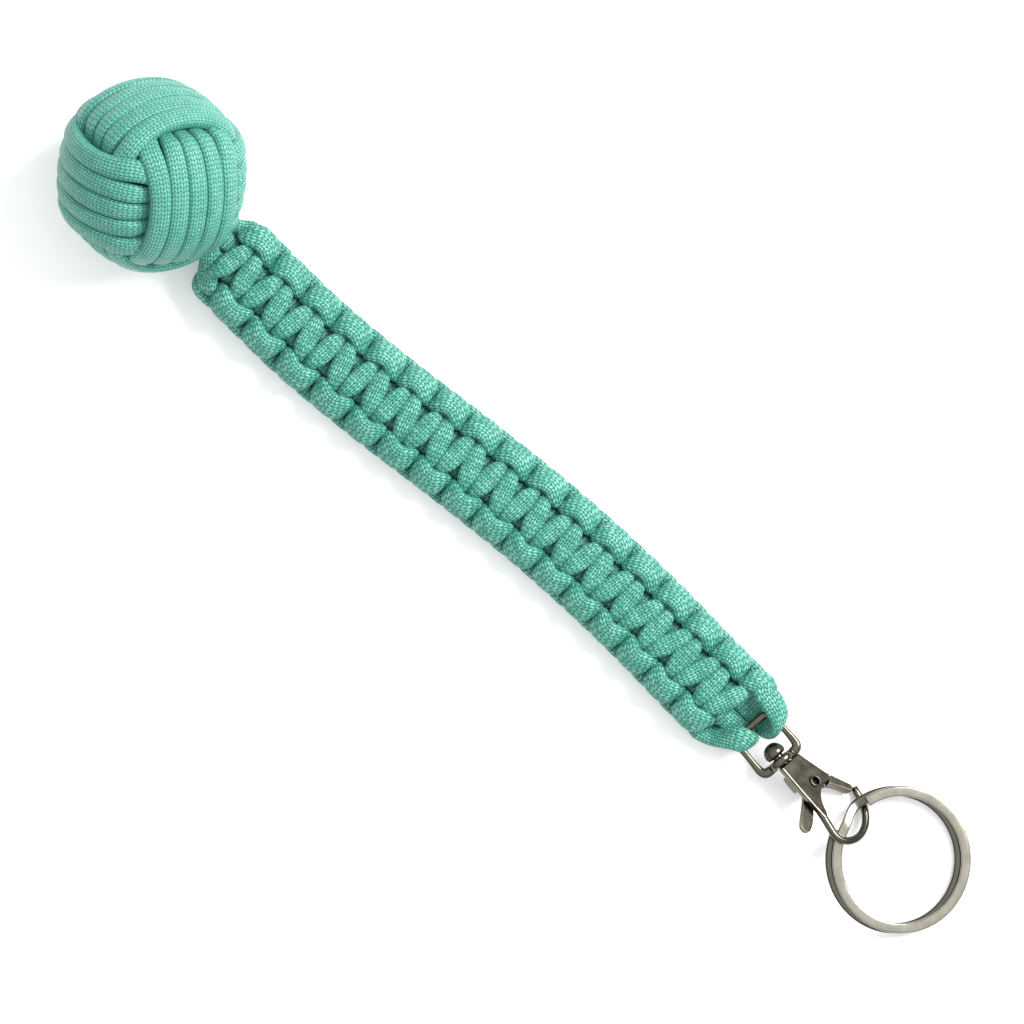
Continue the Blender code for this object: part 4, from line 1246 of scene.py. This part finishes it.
@dataclass
class SplitRing:
    """Flat spring wire wound nearly twice, with a short climb from the lower coil to the upper."""

    metal: Material
    centre: Place = (168.9, -0.5, 2.85)
    rise: float = 0.135
    rise_toward: float = math.radians(221.7)
    radius: float = 12.95
    width: float = 2.0
    thickness: float = 0.92
    edge: float = 0.38
    coil_step: float = 1.02
    lower_end: float = 196.0
    overlap_end: float = 526.0
    climb_end: float = 554.0
    upper_end: float = 883.5
    # The upper coil has slipped to one side of the lower one, by this share of their distance.
    slip: float = 1.1
    slip_toward: float = math.radians(41.7 - 196.0)
    # The ring is a little oval, narrower the way its coils slipped.
    oval: float = 0.045
    # Coil spacing while the wire is wound, before the two coils are pressed together.
    open_step: float = 4.0
    steps: int = 340

    def build(self) -> None:
        """Winds the ring, presses its coils together and lays it in place."""
        beside = (self.radius * MM, 0.0, 0.0)
        ring = start_piece(bpy.ops.mesh.primitive_plane_add, size=MM, location=beside,
                           rotation=(math.pi / 2, 0.0, 0.0))
        apply_place()
        with edit_mode(ring):
            bpy.ops.transform.resize(value=(self.width, 1.0, self.thickness), center_override=beside)
            bpy.ops.mesh.bevel(offset=self.edge * MM, segments=4, affect="VERTICES")
            bpy.ops.mesh.delete(type="ONLY_FACE")
        wind(ring, self.upper_end - self.lower_end, self.open_step, self.steps)
        self.press(ring)
        toward = Vector((math.cos(self.rise_toward), math.sin(self.rise_toward), 0.0))
        normal = Vector((-toward.x * self.rise, -toward.y * self.rise, 1.0)).normalized()
        x_axis = (Vector(X_AXIS) - normal * normal.x).normalized()
        matrix = Matrix((x_axis, normal.cross(x_axis), normal)).transposed().to_4x4()
        matrix = matrix @ Matrix.Rotation(math.radians(self.lower_end), 4, "Z")
        matrix.translation = Vector(np.array(self.centre) - ORIGIN) * MM
        put_in_place(ring, matrix, "split_ring", self.metal, "ring", Edges.FLAT_WIRE)

    def press(self, ring: Object) -> None:
        """Presses the open coil together, so that it climbs only between its two overlaps.

        Args:
            ring: The open coil, in the ring's axes.
        """
        way = Vector((math.cos(self.slip_toward), math.sin(self.slip_toward), 0.0))
        # No operator presses a coil, so its points are moved one by one.
        for vertex in ring.data.vertices:
            place = vertex.co
            turned_by = math.degrees(math.atan2(place.y, place.x)) % 360.0
            wound = place.z / MM / self.open_step * 360.0
            turned_by += 360.0 * round((wound - turned_by) / 360.0)
            above = place.z / MM - turned_by / 360.0 * self.open_step
            share = (turned_by + self.lower_end - self.overlap_end) / (self.climb_end - self.overlap_end)
            share = min(1.0, max(0.0, share))
            climbed = (share * share * (3 - 2 * share) - 0.5) * self.coil_step
            place.z = (climbed + above) * MM
            vertex.co += way * (climbed * self.slip * MM - place.dot(way) * self.oval)


@dataclass
class Studio:
    """White table, soft light from the upper right of the picture and a camera straight above."""

    table: Material
    table_size: float = 4.0
    aim: tuple[float, float] = (-0.0011, -0.0023)
    turned: float = math.radians(41.7)
    view_width: float = 0.1932
    lens: float = 300.0
    sensor: float = 36.0
    plane_height: float = 0.004
    # Light of the white room: dim low down, bright overhead.
    horizon: float = 0.1
    zenith: float = 1.45
    # Square soft light: place and side in metres, power in watts.
    key_place: Place = (0.25, 0.75, 0.75)
    key_size: float = 0.55
    key_power: float = 18.0

    def build(self) -> None:
        """Builds table, room, light and camera."""
        floor = start_piece(bpy.ops.mesh.primitive_plane_add, size=self.table_size)
        floor.name = "table_top"
        floor.data.materials.append(self.table)
        world = bpy.data.worlds.new("studio")
        bpy.context.scene.world = world
        world.use_nodes = True
        sky = NodeGraph(world.node_tree)
        height = sky.add("SeparateXYZ", {0: sky.add("TexCoord").outputs["Generated"]})
        level = sky.chain(("MAXIMUM", height.outputs[2], 0.0),
                          ("MULTIPLY_ADD", self.zenith - self.horizon, self.horizon))
        sky.feed(world.node_tree.nodes["Background"], {"Strength": level, "Color": linear("ffffff")})
        light = bpy.data.lights.new("key_light", "AREA")
        light.size = self.key_size
        light.energy = self.key_power
        self.hang(light, self.key_place, (-Vector(self.key_place)).to_track_quat("-Z", "Y").to_euler())
        camera = bpy.data.cameras.new("camera")
        camera.lens = self.lens
        camera.sensor_width = self.sensor
        above = self.plane_height + self.view_width * self.lens / self.sensor
        bpy.context.scene.camera = self.hang(camera, (*self.aim, above), (0.0, 0.0, self.turned))
        bpy.context.scene.view_settings.view_transform = "Standard"

    @staticmethod
    def hang(data: bpy.types.ID, place: Place, turn: Sequence[float]) -> Object:
        """Adds a light or camera.

        Args:
            data: The light or camera.
            place: Where it is, in metres.
            turn: Its turns about the three axes.

        Returns:
            Its object.
        """
        holder = bpy.data.objects.new(data.name, data)
        holder.location = place
        holder.rotation_euler = turn
        bpy.context.scene.collection.objects.link(holder)
        return holder


def main() -> None:
    """Builds the whole fob in order, from the ball to the ring, and then its table and lights."""
    logging.basicConfig(level=logging.INFO, format="%(name)s: %(message)s")
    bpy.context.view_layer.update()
    line = MiddleLine()
    nylon = BraidedNylon("mint_braided_nylon").make()
    tight = BraidedNylon("mint_braided_nylon_pulled_tight", crown_painted_highlight="71b4a8", body="408e7e", groove_painted_shade="1a5c4c",
                         uneven=0.2, depth=0.0001).make()
    steel = PlatedMetal("ground_steel", colour="b9b9ba", dull="a5a5a6", roughness=0.3).make()
    clasp_metal = PlatedMetal("dark_nickel_plate").make()
    # The ring is darker below its middle plane: painted shade on the lower coil under the upper one.
    ring_metal = PlatedMetal("bright_nickel_plate", colour="a09d91", dull="918e83", roughness=0.22,
                             painted_shade_below=(0.01238, 0.1008, 0.0898)).make()
    Fist(tight, steel).build()
    Weave(line, nylon).build()
    Clasp(clasp_metal).build()
    SplitRing(ring_metal).build()
    Studio(MattTable("white_laminate").make()).build()


if __name__ == "__main__":
    main()
